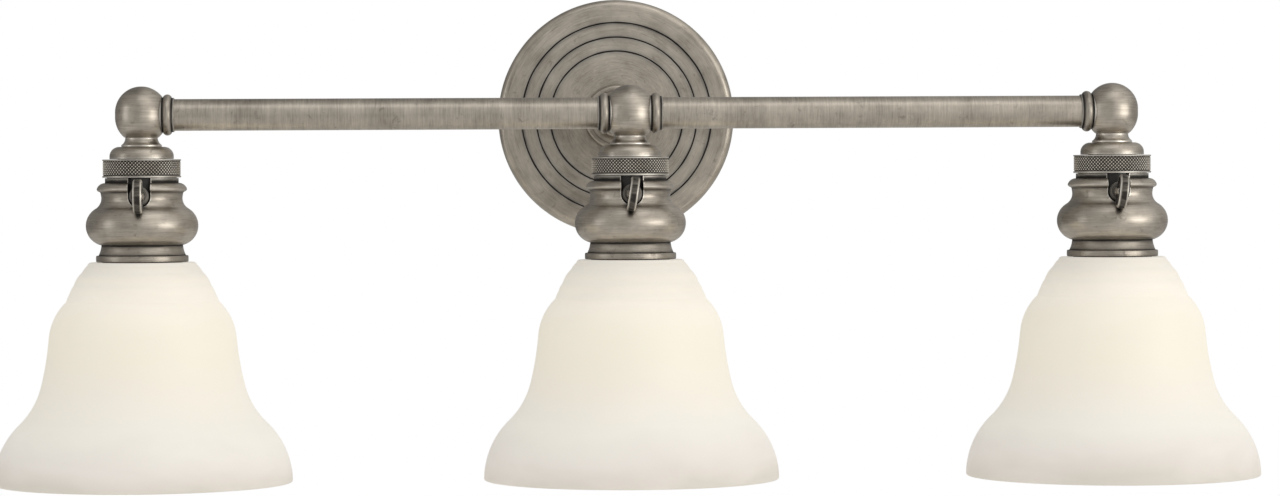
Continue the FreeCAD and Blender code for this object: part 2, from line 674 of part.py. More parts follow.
def make_shell_and_contact(side):
    """The threaded brass shell that grips the bulb, and the contact above it."""
    bore = "(bulb_base_radius + shell_gap)"
    outline = ring_outline(bore, f"{bore} + shell_wall", f"-{SOCKET_FOOT}", f"-{SHELL_TOP}")
    revolve(lamp_body(side, "screw_shell"), outline)
    contact = ring_outline("0", "contact_radius", f"-{CONTACT_FOOT}", f"-{SHELL_TOP}")
    revolve(lamp_body(side, "centre_contact"), contact)


def make_key(side):
    """The switch key: a round stem along Y and an oval paddle set on edge, with a small eye at its rim."""
    key = keep(new_body(f"{side}_key", UPRIGHT, lamp_x(side), "-bar_reach", "-key_drop"))
    key.Placement.Rotation = FreeCAD.Rotation(FreeCAD.Vector(0, 1, 0), 1)
    key.setExpression("Placement.Rotation.Angle", f"Dims.{side}_key_tilt")
    sketch = new_sketch(key, "YZ_Plane")
    high, deep = "(paddle_height / 2)", "(paddle_depth / 2)"
    middle = f"(-paddle_start - {deep})"
    outline = [(middle, f"-{high}", "paddle_round"), (f"{middle} + {deep}", "0", "paddle_round")]
    outline += [(middle, high, "paddle_round"), (f"{middle} - {deep}", "0", "paddle_round")]
    draw(sketch, outline)
    paddle = key.newObject("PartDesign::Pad", "paddle")
    paddle.Profile = (sketch, [""])
    paddle.Midplane = True
    paddle.setExpression("Length", bound("paddle_thickness"))
    doc.recompute()
    stem = key.newObject("PartDesign::AdditiveCylinder", "stem")
    stem.setExpression("Radius", bound("stem_radius"))
    stem.setExpression("Height", bound("paddle_start + stem_overlap - stem_inner_end"))
    place(stem, OUT_OF_WALL, "0", "-stem_inner_end")
    doc.recompute()
    eye = f"{middle} - {deep} + paddle_eye_inset"
    drill(key, "paddle_eye_radius", "paddle_thickness", ALONG_X, "-paddle_thickness / 2", eye)


# ---------------------------------------------------------------- glass and bulb


def shade_curves():
    """The arcs of the bell's outer face, downwards: name, slope at its start and end, and 1 if convex."""
    beads = ["shoulder_slope", "first_bead_slope", "second_bead_slope"]
    beads += ["third_bead_slope", "shoulder_foot_slope"]
    curves = [("shoulder_round", start, end, 1) for start, end in zip(beads, beads[1:])]
    curves += [("bell_round", "bell_slope", "waist_slope", 1)]
    curves += [("waist_round", "waist_slope", "skirt_slope", -1)]
    curves += [("skirt_round", "skirt_slope", "mouth_slope", -1), ("mouth_round", "mouth_slope", "0", 1)]
    return curves


def make_shade(side):
    """The opal glass bell, blown to one wall thickness, with a beaded shoulder and a plain mouth."""
    radius, drop = SHOULDER_RADIUS, f"({GLASS_TOP} + glass_corner)"
    outline = [(GLASS_HOLE_RADIUS, f"-{GLASS_TOP}"), (f"{SHOULDER_RADIUS} - glass_corner", f"-{GLASS_TOP}")]
    outline.append((radius, f"-{drop}", "-(glass_corner * glass_corner_ease)"))
    inner_drop = f"{drop} + glass_wall * sin(shoulder_slope)"
    inside = [(f"{radius} - glass_wall * cos(shoulder_slope)", f"-({inner_drop})")]
    for name, start, end, way in shade_curves():
        radius += f" + {way} * {name} * (cos({end}) - cos({start}))"
        drop += f" + {way} * {name} * (sin({start}) - sin({end}))"
        face = "bead_round" if name == "shoulder_round" else name
        outline.append((radius, f"-({drop})", f"{-way} * {face}"))
        here = (f"{radius} - glass_wall * cos({end})", f"-({drop} + glass_wall * sin({end}))")
        inside[-1] = (*inside[-1][:2], f"{way} * {name} - glass_wall")
        inside.append(here)
    inside[1:4] = []
    outline += inside[::-1]
    outline.append((f"{GASKET_RADIUS} + gasket_gap", f"-{GASKET_TOP}"))
    outline.append((GLASS_HOLE_RADIUS, f"-{GASKET_TOP}"))
    revolve(lamp_body(side, "glass_shade"), outline)


def make_shade_fixing(side):
    """The gasket under the glass and the threaded ring that clamps it up from inside."""
    bore = f"({SLEEVE_RADIUS} + fit_gap)"
    gasket = ring_outline(f"{bore} + gasket_gap", GASKET_RADIUS, f"-{RETAINER_TOP}", f"-{GASKET_TOP}")
    revolve(lamp_body(side, "shade_gasket"), gasket)
    foot = f"-{RETAINER_TOP} - retainer_height"
    ring = ring_outline(bore, RETAINER_RADIUS, foot, f"-{RETAINER_TOP}")
    revolve(lamp_body(side, "retaining_ring"), ring)


def make_bulb(side):
    """A pear-shaped bulb: its capped screw base, and a thin glass envelope that starts below the collar."""
    collar = f"-{BULB_COLLAR}"
    shoulder = f"-({BULB_TIP} + bulb_tip_rise)"
    base = [("0", collar), ("bulb_base_radius", collar), ("bulb_base_radius", shoulder)]
    base += [("bulb_tip_radius", f"-{BULB_TIP}"), ("0", f"-{BULB_TIP}")]
    revolve(lamp_body(side, "bulb_base"), base)
    middle = f"(-{BULB_TIP} - bulb_length + bulb_radius)"
    total = "(bulb_radius + bulb_shoulder)"
    across = "(bulb_neck_radius + bulb_shoulder)"
    rise = f"sqrt({total}^2 - {across}^2)"
    neck_end = f"({middle} + {rise})"
    inner = "(bulb_radius - bulb_wall)"
    join_out = (f"{across} * bulb_radius / {total}", f"{middle} + {rise} * bulb_radius / {total}")
    join_in = (f"{across} * {inner} / {total}", f"{middle} + {rise} * {inner} / {total}")
    neck_in = "bulb_neck_radius - bulb_wall"
    top = f"({collar} - fit_gap)"
    glass = [("0", f"{middle} - bulb_radius"), ("bulb_radius", middle, "bulb_radius")]
    glass += [(*join_out, "bulb_radius"), ("bulb_neck_radius", neck_end, "-bulb_shoulder")]
    glass += [("bulb_neck_radius", top), (neck_in, top), (neck_in, neck_end)]
    glass += [(*join_in, "bulb_shoulder + bulb_wall"), (inner, middle, f"-{inner}")]
    glass.append(("0", f"{middle} - {inner}", f"-{inner}"))
    revolve(lamp_body(side, "bulb_glass"), glass)


def make_nipples():
    """The hollow threaded stems that hold each lamp head to its ball."""
    stems = []
    for side in LAMPS:
        stem = new_body(f"nipple_{side}", UPRIGHT, lamp_x(side), "-bar_reach")
        outline = ring_outline("nipple_bore", "nipple_radius", f"-{NIPPLE_FOOT}", "-nipple_top")
        stems.append(revolve(stem, outline))
    group("lamp_nipples", stems)


# ---------------------------------------------------------------- leads


def rounded_path(points, bend):
    """Straight runs joined by tangent quarter turns of one radius."""
    edges = []
    start = points[0]
    for corner, after in zip(points[1:], points[2:]):
        back = (start - corner).normalize()
        ahead = (after - corner).normalize()
        enter, leave = corner + back * bend, corner + ahead * bend
        centre = corner + (back + ahead) * bend
        middle = centre - (back + ahead).normalize() * bend
        edges += [Part.LineSegment(start, enter).toShape(), Part.Arc(enter, middle, leave).toShape()]
        start = leave
    edges.append(Part.LineSegment(start, points[-1]).toShape())
    return Part.Wire(edges)


def lead_solid(points):
    path = rounded_path(points, number("lead_bend"))
    along = points[1] - points[0]
    section = Part.Wire(Part.Circle(points[0], along, number("lead_radius")).toShape())
    return path.makePipeShell([section], True, False)


def make_leads(label, level):
    """One insulated lead per lamp, from behind the plate through the arm and the bar down into the socket."""
    reach, start, end = number("bar_reach"), number("lead_start"), number("lead_drop - lead_end_gap")
    height = level * number("lead_half_gap")
    leads = []
    for sign in LAMPS.values():
        row = sign * number("lead_row_gap")
        points = [FreeCAD.Vector(row, -start, height)]
        if sign:
            lamp = sign * (number("lamp_spacing") + height)
            points += [FreeCAD.Vector(row, -reach, height), FreeCAD.Vector(lamp, -reach, height)]
            points.append(FreeCAD.Vector(lamp, -reach, -end))
        else:
            points.append(FreeCAD.Vector(row, -reach - height, height))
            points.append(FreeCAD.Vector(row, -reach - height, -end))
        leads.append(lead_solid(points))
    node = keep(doc.addObject("Part::Feature", label))
    node.Label = label
    node.Shape = Part.makeCompound(leads)


# ---------------------------------------------------------------- build and write

make_backplate()
make_crossbar()
make_plate_fixing()
make_arm()
make_bar()
make_nipples()
for lamp_side in LAMPS:
    make_ball(lamp_side)
    make_neck(lamp_side)
    make_dome_cap(lamp_side)
    make_carrier(lamp_side)
    make_knurled_ring(lamp_side)
    make_holder(lamp_side)
    make_socket(lamp_side)
    make_shell_and_contact(lamp_side)
    make_key(lamp_side)
    make_shade(lamp_side)
    make_shade_fixing(lamp_side)
    make_bulb(lamp_side)
make_leads("live_leads", 1)
make_leads("neutral_leads", -1)
doc.recompute()

for item in doc.Objects:
    if "Invalid" in item.State or "Error" in item.State:
        raise ValueError(f"{item.Label} failed: {item.State}")
for node in nodes:
    if node.Shape.isNull() or not node.Shape.isValid():
        raise ValueError(f"{node.Label} has no valid shape")

os.makedirs("parts", exist_ok=True)
for node in nodes:
    node.Shape.exportStep(f"parts/{node.Label}.step")
    print(node.Label, len(node.Shape.Solids), round(node.Shape.Volume, 1))
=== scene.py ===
"""The looks of a vanity light bar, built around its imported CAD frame. Lengths are metres."""

import json
import math

import bmesh
import bpy
import numpy as np
from mathutils import Matrix, Vector
from mathutils.kdtree import KDTree


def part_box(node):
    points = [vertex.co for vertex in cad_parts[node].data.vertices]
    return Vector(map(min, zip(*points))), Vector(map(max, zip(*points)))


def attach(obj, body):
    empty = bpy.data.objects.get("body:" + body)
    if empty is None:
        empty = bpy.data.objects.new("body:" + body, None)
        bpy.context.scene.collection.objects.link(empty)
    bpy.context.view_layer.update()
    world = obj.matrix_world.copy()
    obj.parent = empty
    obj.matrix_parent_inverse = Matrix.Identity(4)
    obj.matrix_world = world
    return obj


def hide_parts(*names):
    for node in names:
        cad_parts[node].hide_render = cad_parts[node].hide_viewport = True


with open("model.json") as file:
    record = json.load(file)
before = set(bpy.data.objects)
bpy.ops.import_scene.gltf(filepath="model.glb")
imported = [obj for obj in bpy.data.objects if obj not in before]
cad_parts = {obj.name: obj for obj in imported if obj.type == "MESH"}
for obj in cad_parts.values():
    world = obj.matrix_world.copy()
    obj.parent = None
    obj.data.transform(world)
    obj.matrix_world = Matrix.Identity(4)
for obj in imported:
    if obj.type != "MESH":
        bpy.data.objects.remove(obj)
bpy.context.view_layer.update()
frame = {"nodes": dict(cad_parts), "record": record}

MM = 0.001
UP = (0, 0, 1)
OUT = (0, -1, 0)
LAMPS = ("left", "centre", "right")

# Camera, for an image 1280 pixels wide
CAMERA_PLACE = Vector((-0.1013, -2.160, -0.0320))
CAMERA_YAW = 0.053
CAMERA_PITCH = -0.018
CAMERA_ROLL = -0.005
CAMERA_FOCAL_PX = 3970
CAMERA_FAR = 50
IMAGE_WIDTH_PX = 1280
SENSOR_MM = 36

# Surroundings: how bright they are in front of the light bar, behind it, and below it as a share
ROOM_FRONT = 1.4
ROOM_BACK = 0.62
ROOM_BELOW = 0.6
ROOM_SIDEWAYS = ((0.0, 0.42), (0.2, 0.45), (0.45, 0.34), (0.57, 0.74), (0.80, 0.84), (1.0, 0.62))
ROOM_COLOUR = (1.0, 0.985, 0.955)

# Softboxes: name, place, size, power in watts, colour. All of them point at LIT_MIDDLE.
LIT_MIDDLE = (0, -0.16, -0.06)
SOFTBOXES = (
    ("key", (1.45, -1.30, 0.06), (1.1, 0.7), 5.9, (1.0, 0.975, 0.94)),
    ("fill", (-1.7, -0.7, 0.15), (0.5, 1.0), 1.6, (1, 1, 1)),
    ("top", (0.1, -0.9, 1.5), (1.4, 0.7), 2.0, (1, 1, 1)),
)
FLOOR_PLACE = (0, -0.1, -0.42)
FLOOR_RADIUS = 1.6

# Segments round a full turn
SEGMENTS_LARGE = 176
SEGMENTS_HOLDER = 144
SEGMENTS_BALL = 128
SEGMENTS_SMALL = 112
SEGMENTS_FLOOR = 96
SEGMENTS_COLLAR = 80
SEGMENTS_PADDLE = 80
SEGMENTS_BULB = 72
SEGMENTS_WASHER = 64
SEGMENTS_STEM = 48
SEGMENTS_EYE = 32

# Resampling of outlines
METAL_STEP = 0.7 * MM
GLASS_STEP = 1.6 * MM
STRAIGHT_STEP = 2.5 * MM
EDGE_SUPPORT = 0.12 * MM
SUPPORTED_LENGTH = 0.6 * MM
CORNER_POINTS = 5
CORNER_ANGLE = math.radians(22)
STRAIGHT_SINE = 0.004
CUT_TURN = math.radians(-88.7)
SHARP_ANGLE = math.radians(38)
# How far the painted crease shade spreads from an inward corner
CREASE_REACH = 0.75 * MM
# How far edge wear and its painted highlight spread from an outward corner
WEAR_AND_HIGHLIGHT_REACH = 0.45 * MM
BRUSH_RADIUS_MIN = 4 * MM

# How much each kind of edge is rounded
EDGE_ROUND = 0.22 * MM
EDGE_ROUND_GLASS = 0.9 * MM
EDGE_ROUND_RING = 0.12 * MM
EDGE_ROUND_WASHER = 0.15 * MM

# How near counts as touching
ON_AXIS = 1e-6
SAME_POINT = 1e-7
IN_PLANE = 2e-6
ON_EDGE = 0.05 * MM

# Tubes, balls and collars
TUBE_RADIUS = 7.95 * MM
BORE_START = 4 * MM
BORE_LENGTH = 16 * MM
BALL_BORES = {"left": [(1, 0, 0)], "centre": [(1, 0, 0), (-1, 0, 0), (0, 1, 0)], "right": [(-1, 0, 0)]}
COLLAR_SEATS = [(side, axis) for side in LAMPS for axis in BALL_BORES[side]]
COLLAR_SPAN = (8 * MM, 20 * MM, 14 * MM)

# Coupling ring
KNURL_TEETH = 68
KNURL_STEPS = 8
KNURL_DEPTH = 0.55 * MM
KNURL_INSET = 0.1 * MM
LIP_HEIGHT = 0.3 * MM
KNURL_ABOVE_FOOT = 0.93 * MM
KNURL_BELOW_TOP = 0.73 * MM

# Slot in the shade holder
SLOT_WIDTH = 11.2 * MM
SLOT_DROP = 46.4 * MM
SLOT_REACH = 50 * MM
SLOT_FOOT_POINTS = 33
HOLDER_INSIDE = 17.5 * MM

# Switch key and its boss
PADDLE_HALF_DEPTH = 6.25 * MM
PADDLE_DISH = 0.55
PADDLE_END = 10 * MM
EYE_RADIUS = 1.0 * MM
EYE_INSET = 2.9 * MM
EYE_START = 4 * MM
STEM_RADIUS = 2.2 * MM
STEM_OVERLAP = 3 * MM
SHOULDER_RADIUS = 2.9 * MM
SHOULDER_START = 5.2 * MM
SHOULDER_RISE = 0.6 * MM
SHOULDER_END = 2.6 * MM
BOSS_REACH = 21.5 * MM

# Spacing of the painted shade bands on the glass's shoulder
GLASS_RING_PITCH = 6.2 * MM


# ------------------------------------------------------------------ outlines read from the frame


def lamp_centre(side):
    """Where a lamp's axis meets the bar's axis."""
    low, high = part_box(f"{side}_neck_ring")
    tube_low, tube_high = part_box("left_bar_tube")
    middle = (low + high) / 2
    return Vector((middle.x, middle.y, (tube_low.z + tube_high.z) / 2))


def cylinder_frame(axis):
    """Two directions square to an axis, and the axis, as rows."""
    up = np.array(axis, float) / np.linalg.norm(axis)
    side = np.array((1.0, 0.0, 0.0)) if abs(up[0]) < 0.5 else np.array((0.0, 0.0, 1.0))
    side = side - up * (side @ up)
    side /= np.linalg.norm(side)
    return np.array((side, np.cross(up, side), up))


def outline_of(node, centre, axis, span=None, holed=False):
    """A turned node's outline as (radius, height) points, read from its mesh along one half plane.

    A span gives the lowest and the highest height and the largest radius of the part to read.
    """
    rows = cylinder_frame(axis)
    mesh = frame["nodes"][node].data
    mesh.calc_loop_triangles()
    local = (np.array([v.co for v in mesh.vertices], float) - np.array(centre)) @ rows.T
    corners = np.array([t.vertices for t in mesh.loop_triangles])
    if span is not None:
        low, high, reach = span
        inside = (local[:, 2] > low) & (local[:, 2] < high) & (np.hypot(local[:, 0], local[:, 1]) < reach)
        corners = corners[inside[corners].all(axis=1)]
    for quarter in range(0 if holed else 4):
        turn = quarter * math.pi / 2
        across = local[:, 0] * math.cos(turn) + local[:, 1] * math.sin(turn)
        aside = -local[:, 0] * math.sin(turn) + local[:, 1] * math.cos(turn)
        edges = seam_edges(across, aside, local[:, 2], corners)
        chain = longest_chain(edges)
        if is_whole(chain, edges):
            return np.array(chain)
    return np.array(longest_chain(cut_edges(local, corners, CUT_TURN)))


def is_whole(chain, edges):
    """Whether a chain closes on itself or runs from axis to axis."""
    if len(chain) < 4:
        return False
    ends = (min(chain[0], chain[-1]), max(chain[0], chain[-1]))
    return ends in edges or max(ends[0][0], ends[1][0]) < ON_AXIS


def seam_edges(across, aside, height, corners):
    """Mesh edges that lie in the half plane, as pairs of rounded points."""
    flat = (np.abs(aside) < IN_PLANE) & (across > -ON_AXIS)
    edges = set()
    for a, b in ((0, 1), (1, 2), (2, 0)):
        first, second = corners[:, a], corners[:, b]
        keep = flat[first] & flat[second]
        for i, j in zip(first[keep], second[keep]):
            p = (round(across[i], 6), round(height[i], 6))
            q = (round(across[j], 6), round(height[j], 6))
            if p != q:
                edges.add((min(p, q), max(p, q)))
    return edges


def cut_edges(local, corners, turn):
    """Where a half plane at an angle cuts the triangles, as pairs of rounded points."""
    across = local[:, 0] * math.cos(turn) + local[:, 1] * math.sin(turn)
    aside = -local[:, 0] * math.sin(turn) + local[:, 1] * math.cos(turn)
    edges = set()
    for triangle in corners:
        crossing = []
        for a, b in ((0, 1), (1, 2), (2, 0)):
            i, j = sorted((triangle[a], triangle[b]))
            if (aside[i] > 0) != (aside[j] > 0):
                t = aside[i] / (aside[i] - aside[j])
                radius = across[i] + t * (across[j] - across[i])
                height = local[i, 2] + t * (local[j, 2] - local[i, 2])
                crossing.append((round(radius, 6), round(height, 6)))
        if len(crossing) == 2 and crossing[0] != crossing[1] and min(crossing[0][0], crossing[1][0]) > 0:
            edges.add((min(crossing), max(crossing)))
    return edges


def longest_chain(edges):
    """The longest run of joined edges, in order."""
    links = {}
    for p, q in edges:
        links.setdefault(p, []).append(q)
        links.setdefault(q, []).append(p)
    best = []
    seen = set()
    for start in sorted(links, key=lambda p: (len(links[p]) != 1, p)):
        if start in seen or len(links[start]) > 2:
            continue
        chain = [start]
        seen.add(start)
        while True:
            ahead = [p for p in links[chain[-1]] if p not in seen]
            if not ahead:
                break
            chain.append(ahead[0])
            seen.add(ahead[0])
        if len(chain) > len(best):
            best = chain
    return best


# ------------------------------------------------------------------ turned pieces


class Outline:
    """A closed or axis-to-axis outline, resampled smoothly, with its corners rounded and graded for painted
    crease shade and for edge wear and highlight.
    """

    def __init__(self, points, edge_round=EDGE_ROUND, step=METAL_STEP):
        points = straighten(points)
        self.closed = not (points[0][0] < ON_AXIS and points[-1][0] < ON_AXIS)
        points = counter_clockwise(points)
        rounded, self.bend = round_corners(points, self.closed, edge_round, step)
        self.points = np.clip(rounded, points.min(axis=0), points.max(axis=0))
        steps = np.linalg.norm(np.diff(self.points, axis=0), axis=1)
        self.along = np.concatenate(([0], np.cumsum(steps)))
        self.grade()

    def grade(self):
        """Shares of painted crease shade and of edge wear and highlight at each point, from the corners near
        it along the outline.
        """
        total = self.along[-1]
        self.crease_shade = np.zeros(len(self.points))
        self.wear_and_highlight = np.zeros(len(self.points))
        for index in np.nonzero(np.abs(self.bend) > 0)[0]:
            gap = np.abs(self.along - self.along[index])
            if self.closed:
                gap = np.minimum(gap, total - gap)
            if self.bend[index] < 0:
                share = -self.bend[index] * np.exp(-gap / CREASE_REACH)
                self.crease_shade = np.maximum(self.crease_shade, share)
            else:
                share = self.bend[index] * np.exp(-gap / WEAR_AND_HIGHLIGHT_REACH)
                self.wear_and_highlight = np.maximum(self.wear_and_highlight, share)


def counter_clockwise(points):
    """An outline's points in the order that keeps the solid on their left."""
    following = np.roll(points, -1, axis=0)
    area = (points[:, 0] * following[:, 1] - following[:, 0] * points[:, 1]).sum()
    return points if area > 0 else points[::-1]


def straighten(points):
    """Drop points that lie on the straight line between their neighbours."""
    kept = list(map(tuple, points))
    changed = True
    while changed and len(kept) > 4:
        changed = False
        for i in range(len(kept)):
            a, b, c = (np.array(kept[(i + k) % len(kept)]) for k in (-1, 0, 1))
            if b[0] < ON_AXIS:
                continue
            u, v = b - a, c - b
            size = np.linalg.norm(u) * np.linalg.norm(v)
            if size < 1e-14 or (abs(u[0] * v[1] - u[1] * v[0]) / size < STRAIGHT_SINE and u @ v > 0):
                kept.pop(i)
                changed = True
                break
    return np.array(kept)


def turn_at(a, b, c):
    """Signed angle by which an outline turns at b, positive to the left."""
    u, v = b - a, c - b
    return math.atan2(u[0] * v[1] - u[1] * v[0], u @ v)


def round_corners(points, closed, edge_round, step):
    """Resample an outline: fine arcs at corners, a smooth curve through gentle bends, long straights."""
    n = len(points)
    turns = np.zeros(n)
    for i in range(n):
        if closed or 0 < i < n - 1:
            turns[i] = turn_at(points[i - 1], points[i], points[(i + 1) % n])
    corner = np.abs(turns) > CORNER_ANGLE
    made, bend = [], []

    def add(point, value=0.0):
        if made and np.linalg.norm(made[-1] - point) < SAME_POINT:
            return
        made.append(np.array(point))
        bend.append(value)

    count = n if closed else n - 1
    trim = np.zeros(n)
    for i in range(n):
        if corner[i]:
            before = np.linalg.norm(points[i] - points[i - 1])
            after = np.linalg.norm(points[(i + 1) % n] - points[i])
            trim[i] = min(edge_round * math.tan(abs(turns[i]) / 2), 0.45 * before, 0.45 * after)
    for i in range(count):
        j = (i + 1) % n
        a, b = points[i], points[j]
        ahead = (b - a) / np.linalg.norm(b - a)
        if corner[i]:
            back = (points[i - 1] - a) / np.linalg.norm(points[i - 1] - a)
            enter, leave = a + back * trim[i], a + ahead * trim[i]
            share = min(abs(turns[i]) / (math.pi / 2), 1.0) * math.copysign(1, turns[i])
            for t in np.linspace(0, 1, CORNER_POINTS):
                add(enter * (1 - t) ** 2 + 2 * a * t * (1 - t) + leave * t * t, share)
        start = a + ahead * trim[i]
        stop = b - ahead * trim[j]
        smooth_start = not corner[i] and abs(turns[i]) > 1e-3
        smooth_stop = not corner[j] and abs(turns[j]) > 1e-3
        length = np.linalg.norm(stop - start)
        if not (smooth_start or smooth_stop):
            steps = max(1, math.ceil(length / STRAIGHT_STEP))
            add(start)
            if length > SUPPORTED_LENGTH:
                add(start + ahead * EDGE_SUPPORT)
            for t in np.arange(1, steps) / steps:
                add(start + ahead * length * t)
            if length > SUPPORTED_LENGTH:
                add(stop - ahead * EDGE_SUPPORT)
            add(stop)
            continue
        first = ahead * length
        last = ahead * length
        if smooth_start:
            first = tangent(points[i - 1], a, b) * length
        if smooth_stop:
            last = tangent(a, b, points[(j + 1) % n]) * length
        steps = max(2, math.ceil(length / step))
        for t in np.arange(0, steps + 1) / steps:
            h00, h10 = 2 * t**3 - 3 * t**2 + 1, t**3 - 2 * t**2 + t
            h01, h11 = -2 * t**3 + 3 * t**2, t**3 - t**2
            add(h00 * start + h10 * first + h01 * stop + h11 * last)
    return np.array(made), np.array(bend)


def tangent(a, b, c):
    """The direction of the circle through three points at the middle one."""
    u, v = b - a, c - b
    lu, lv = np.linalg.norm(u), np.linalg.norm(v)
    way = u / lu * lv + v / lv * lu
    return way / np.linalg.norm(way)


def spin(outline, centre, axis, segments):
    """A mesh turned from an outline, with its grades of painted crease shade and of wear and highlight, and
    its brushing lines.
    """
    rows = cylinder_frame(axis)
    points = outline.points
    count = len(points)
    if outline.closed and np.linalg.norm(points[0] - points[-1]) < SAME_POINT:
        count -= 1
    on_axis = points[:count, 0] < SAME_POINT
    index = np.zeros((count, segments), int)
    total = 0
    owner, turn = [], []
    angles = np.arange(segments) * 2 * math.pi / segments + math.pi / 2
    for i in range(count):
        share = 1 if on_axis[i] else segments
        index[i] = total + np.arange(segments) % share
        owner.append(np.full(share, i))
        turn.append(angles[:share])
        total += share
    owner, turn = np.concatenate(owner), np.concatenate(turn)
    radius, height = points[owner, 0], points[owner, 1]
    local = np.stack((radius * np.cos(turn), radius * np.sin(turn), height), axis=1)
    last = count if outline.closed else count - 1
    lower = index[:last]
    upper = np.roll(index, -1, axis=0)[:last]
    quads = np.stack((lower, np.roll(lower, -1, axis=1), np.roll(upper, -1, axis=1), upper), axis=-1)
    starts_flat = on_axis[:last]
    ends_flat = np.roll(on_axis, -1)[:last]
    opening = quads[starts_flat & ~ends_flat][..., [0, 2, 3]]
    closing = quads[ends_flat & ~starts_flat][..., [0, 1, 2]]
    fans = np.concatenate((opening, closing))
    quads = quads[~starts_flat & ~ends_flat]
    mesh = mesh_from(local @ rows + np.array(centre), quads.reshape(-1, 4), fans.reshape(-1, 3))
    mark(mesh, outline, owner, turn)
    return mesh


def mesh_from(places, quads, fans):
    """A smooth-shaded mesh from arrays of places, four-sided faces and triangles."""
    mesh = bpy.data.meshes.new("turned")
    mesh.vertices.add(len(places))
    mesh.vertices.foreach_set("co", np.asarray(places, np.float32).ravel())
    corners = np.concatenate((quads.ravel(), fans.ravel()))
    mesh.loops.add(len(corners))
    mesh.loops.foreach_set("vertex_index", corners.astype(np.int32))
    starts = np.concatenate((np.arange(len(quads)) * 4, len(quads) * 4 + np.arange(len(fans)) * 3))
    mesh.polygons.add(len(starts))
    mesh.polygons.foreach_set("loop_start", starts.astype(np.int32))
    mesh.update(calc_edges=True)
    mesh.validate()
    mesh.shade_smooth()
    return mesh


def mark(mesh, outline, owner, turn):
    """Store each vertex's painted crease shade and its wear and highlight, and where brushing lines run, from
    its outline point.
    """
    reach = max(np.median(outline.points[:, 0]), BRUSH_RADIUS_MIN)
    brush = np.stack((np.cos(turn) * reach, np.sin(turn) * reach, outline.along[owner]), axis=1)
    store(mesh, "crease_shade", outline.crease_shade[owner])
    store(mesh, "wear_and_highlight", outline.wear_and_highlight[owner])
    store_vector(mesh, "brush", brush)


def mark_again(obj, outline, centre, axis):
    """Mark a turned piece whose mesh has been cut, each vertex from the outline point nearest to it."""
    local = (np.array([v.co for v in obj.data.vertices], float) - np.array(centre)) @ cylinder_frame(axis).T
    radius = np.hypot(local[:, 0], local[:, 1])
    owner = nearest(np.stack((radius, local[:, 2]), axis=1), outline.points)
    mark(obj.data, outline, owner, np.arctan2(local[:, 1], local[:, 0]))


def nearest(points, targets):
    """For each point, the index of the nearest target."""
    tree = KDTree(len(targets))
    for index, (r, h) in enumerate(targets):
        tree.insert((r, h, 0), index)
    tree.balance()
    return np.array([tree.find((r, h, 0))[1] for r, h in points])


def store(mesh, name, values):
    layer = mesh.attributes.get(name) or mesh.attributes.new(name, "FLOAT", "POINT")
    layer.data.foreach_set("value", np.asarray(values, np.float32))


def store_vector(mesh, name, values):
    layer = mesh.attributes.get(name) or mesh.attributes.new(name, "FLOAT_VECTOR", "POINT")
    layer.data.foreach_set("vector", np.asarray(values, np.float32).ravel())


def new_object(name, mesh):
    """A loose object in the scene."""
    obj = bpy.data.objects.new(name, mesh)
    bpy.context.scene.collection.objects.link(obj)
    return obj


def add_piece(name, mesh, body, slot, *nodes):
    """A visible piece on a body, standing in for CAD nodes where any are given."""
    return settle(new_object(name, mesh), body, slot, *nodes)


def join_pieces(objects, name, body, slot, *nodes):
    """Join loose objects in one visible piece."""
    bpy.ops.object.select_all(action="DESELECT")
    for obj in objects:
        obj.select_set(True)
    whole = objects[0]
    bpy.context.view_layer.objects.active = whole
    bpy.ops.object.join()
    whole.name = name
    return settle(whole, body, slot, *nodes)


def settle(obj, body, slot, *nodes):
    """Give a piece its material, hang it on the empty of the body it rides, and hide the CAD nodes it stands
    in for.
    """
    obj.data.materials.clear()
    obj.data.materials.append(MATERIALS[slot])
    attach(obj, body)
    if nodes:
        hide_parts(*nodes)
    return obj


def turned_piece(name, node, centre, axis, body, slot, segments=SEGMENTS_SMALL, holed=False, **finish):
    """Stand a finely turned piece in for a CAD node, on the outline that the node has."""
    outline = Outline(outline_of(node, centre, axis, holed=holed), **finish)
    return add_piece(name, spin(outline, centre, axis, segments), body, slot, node)


# ------------------------------------------------------------------ materials


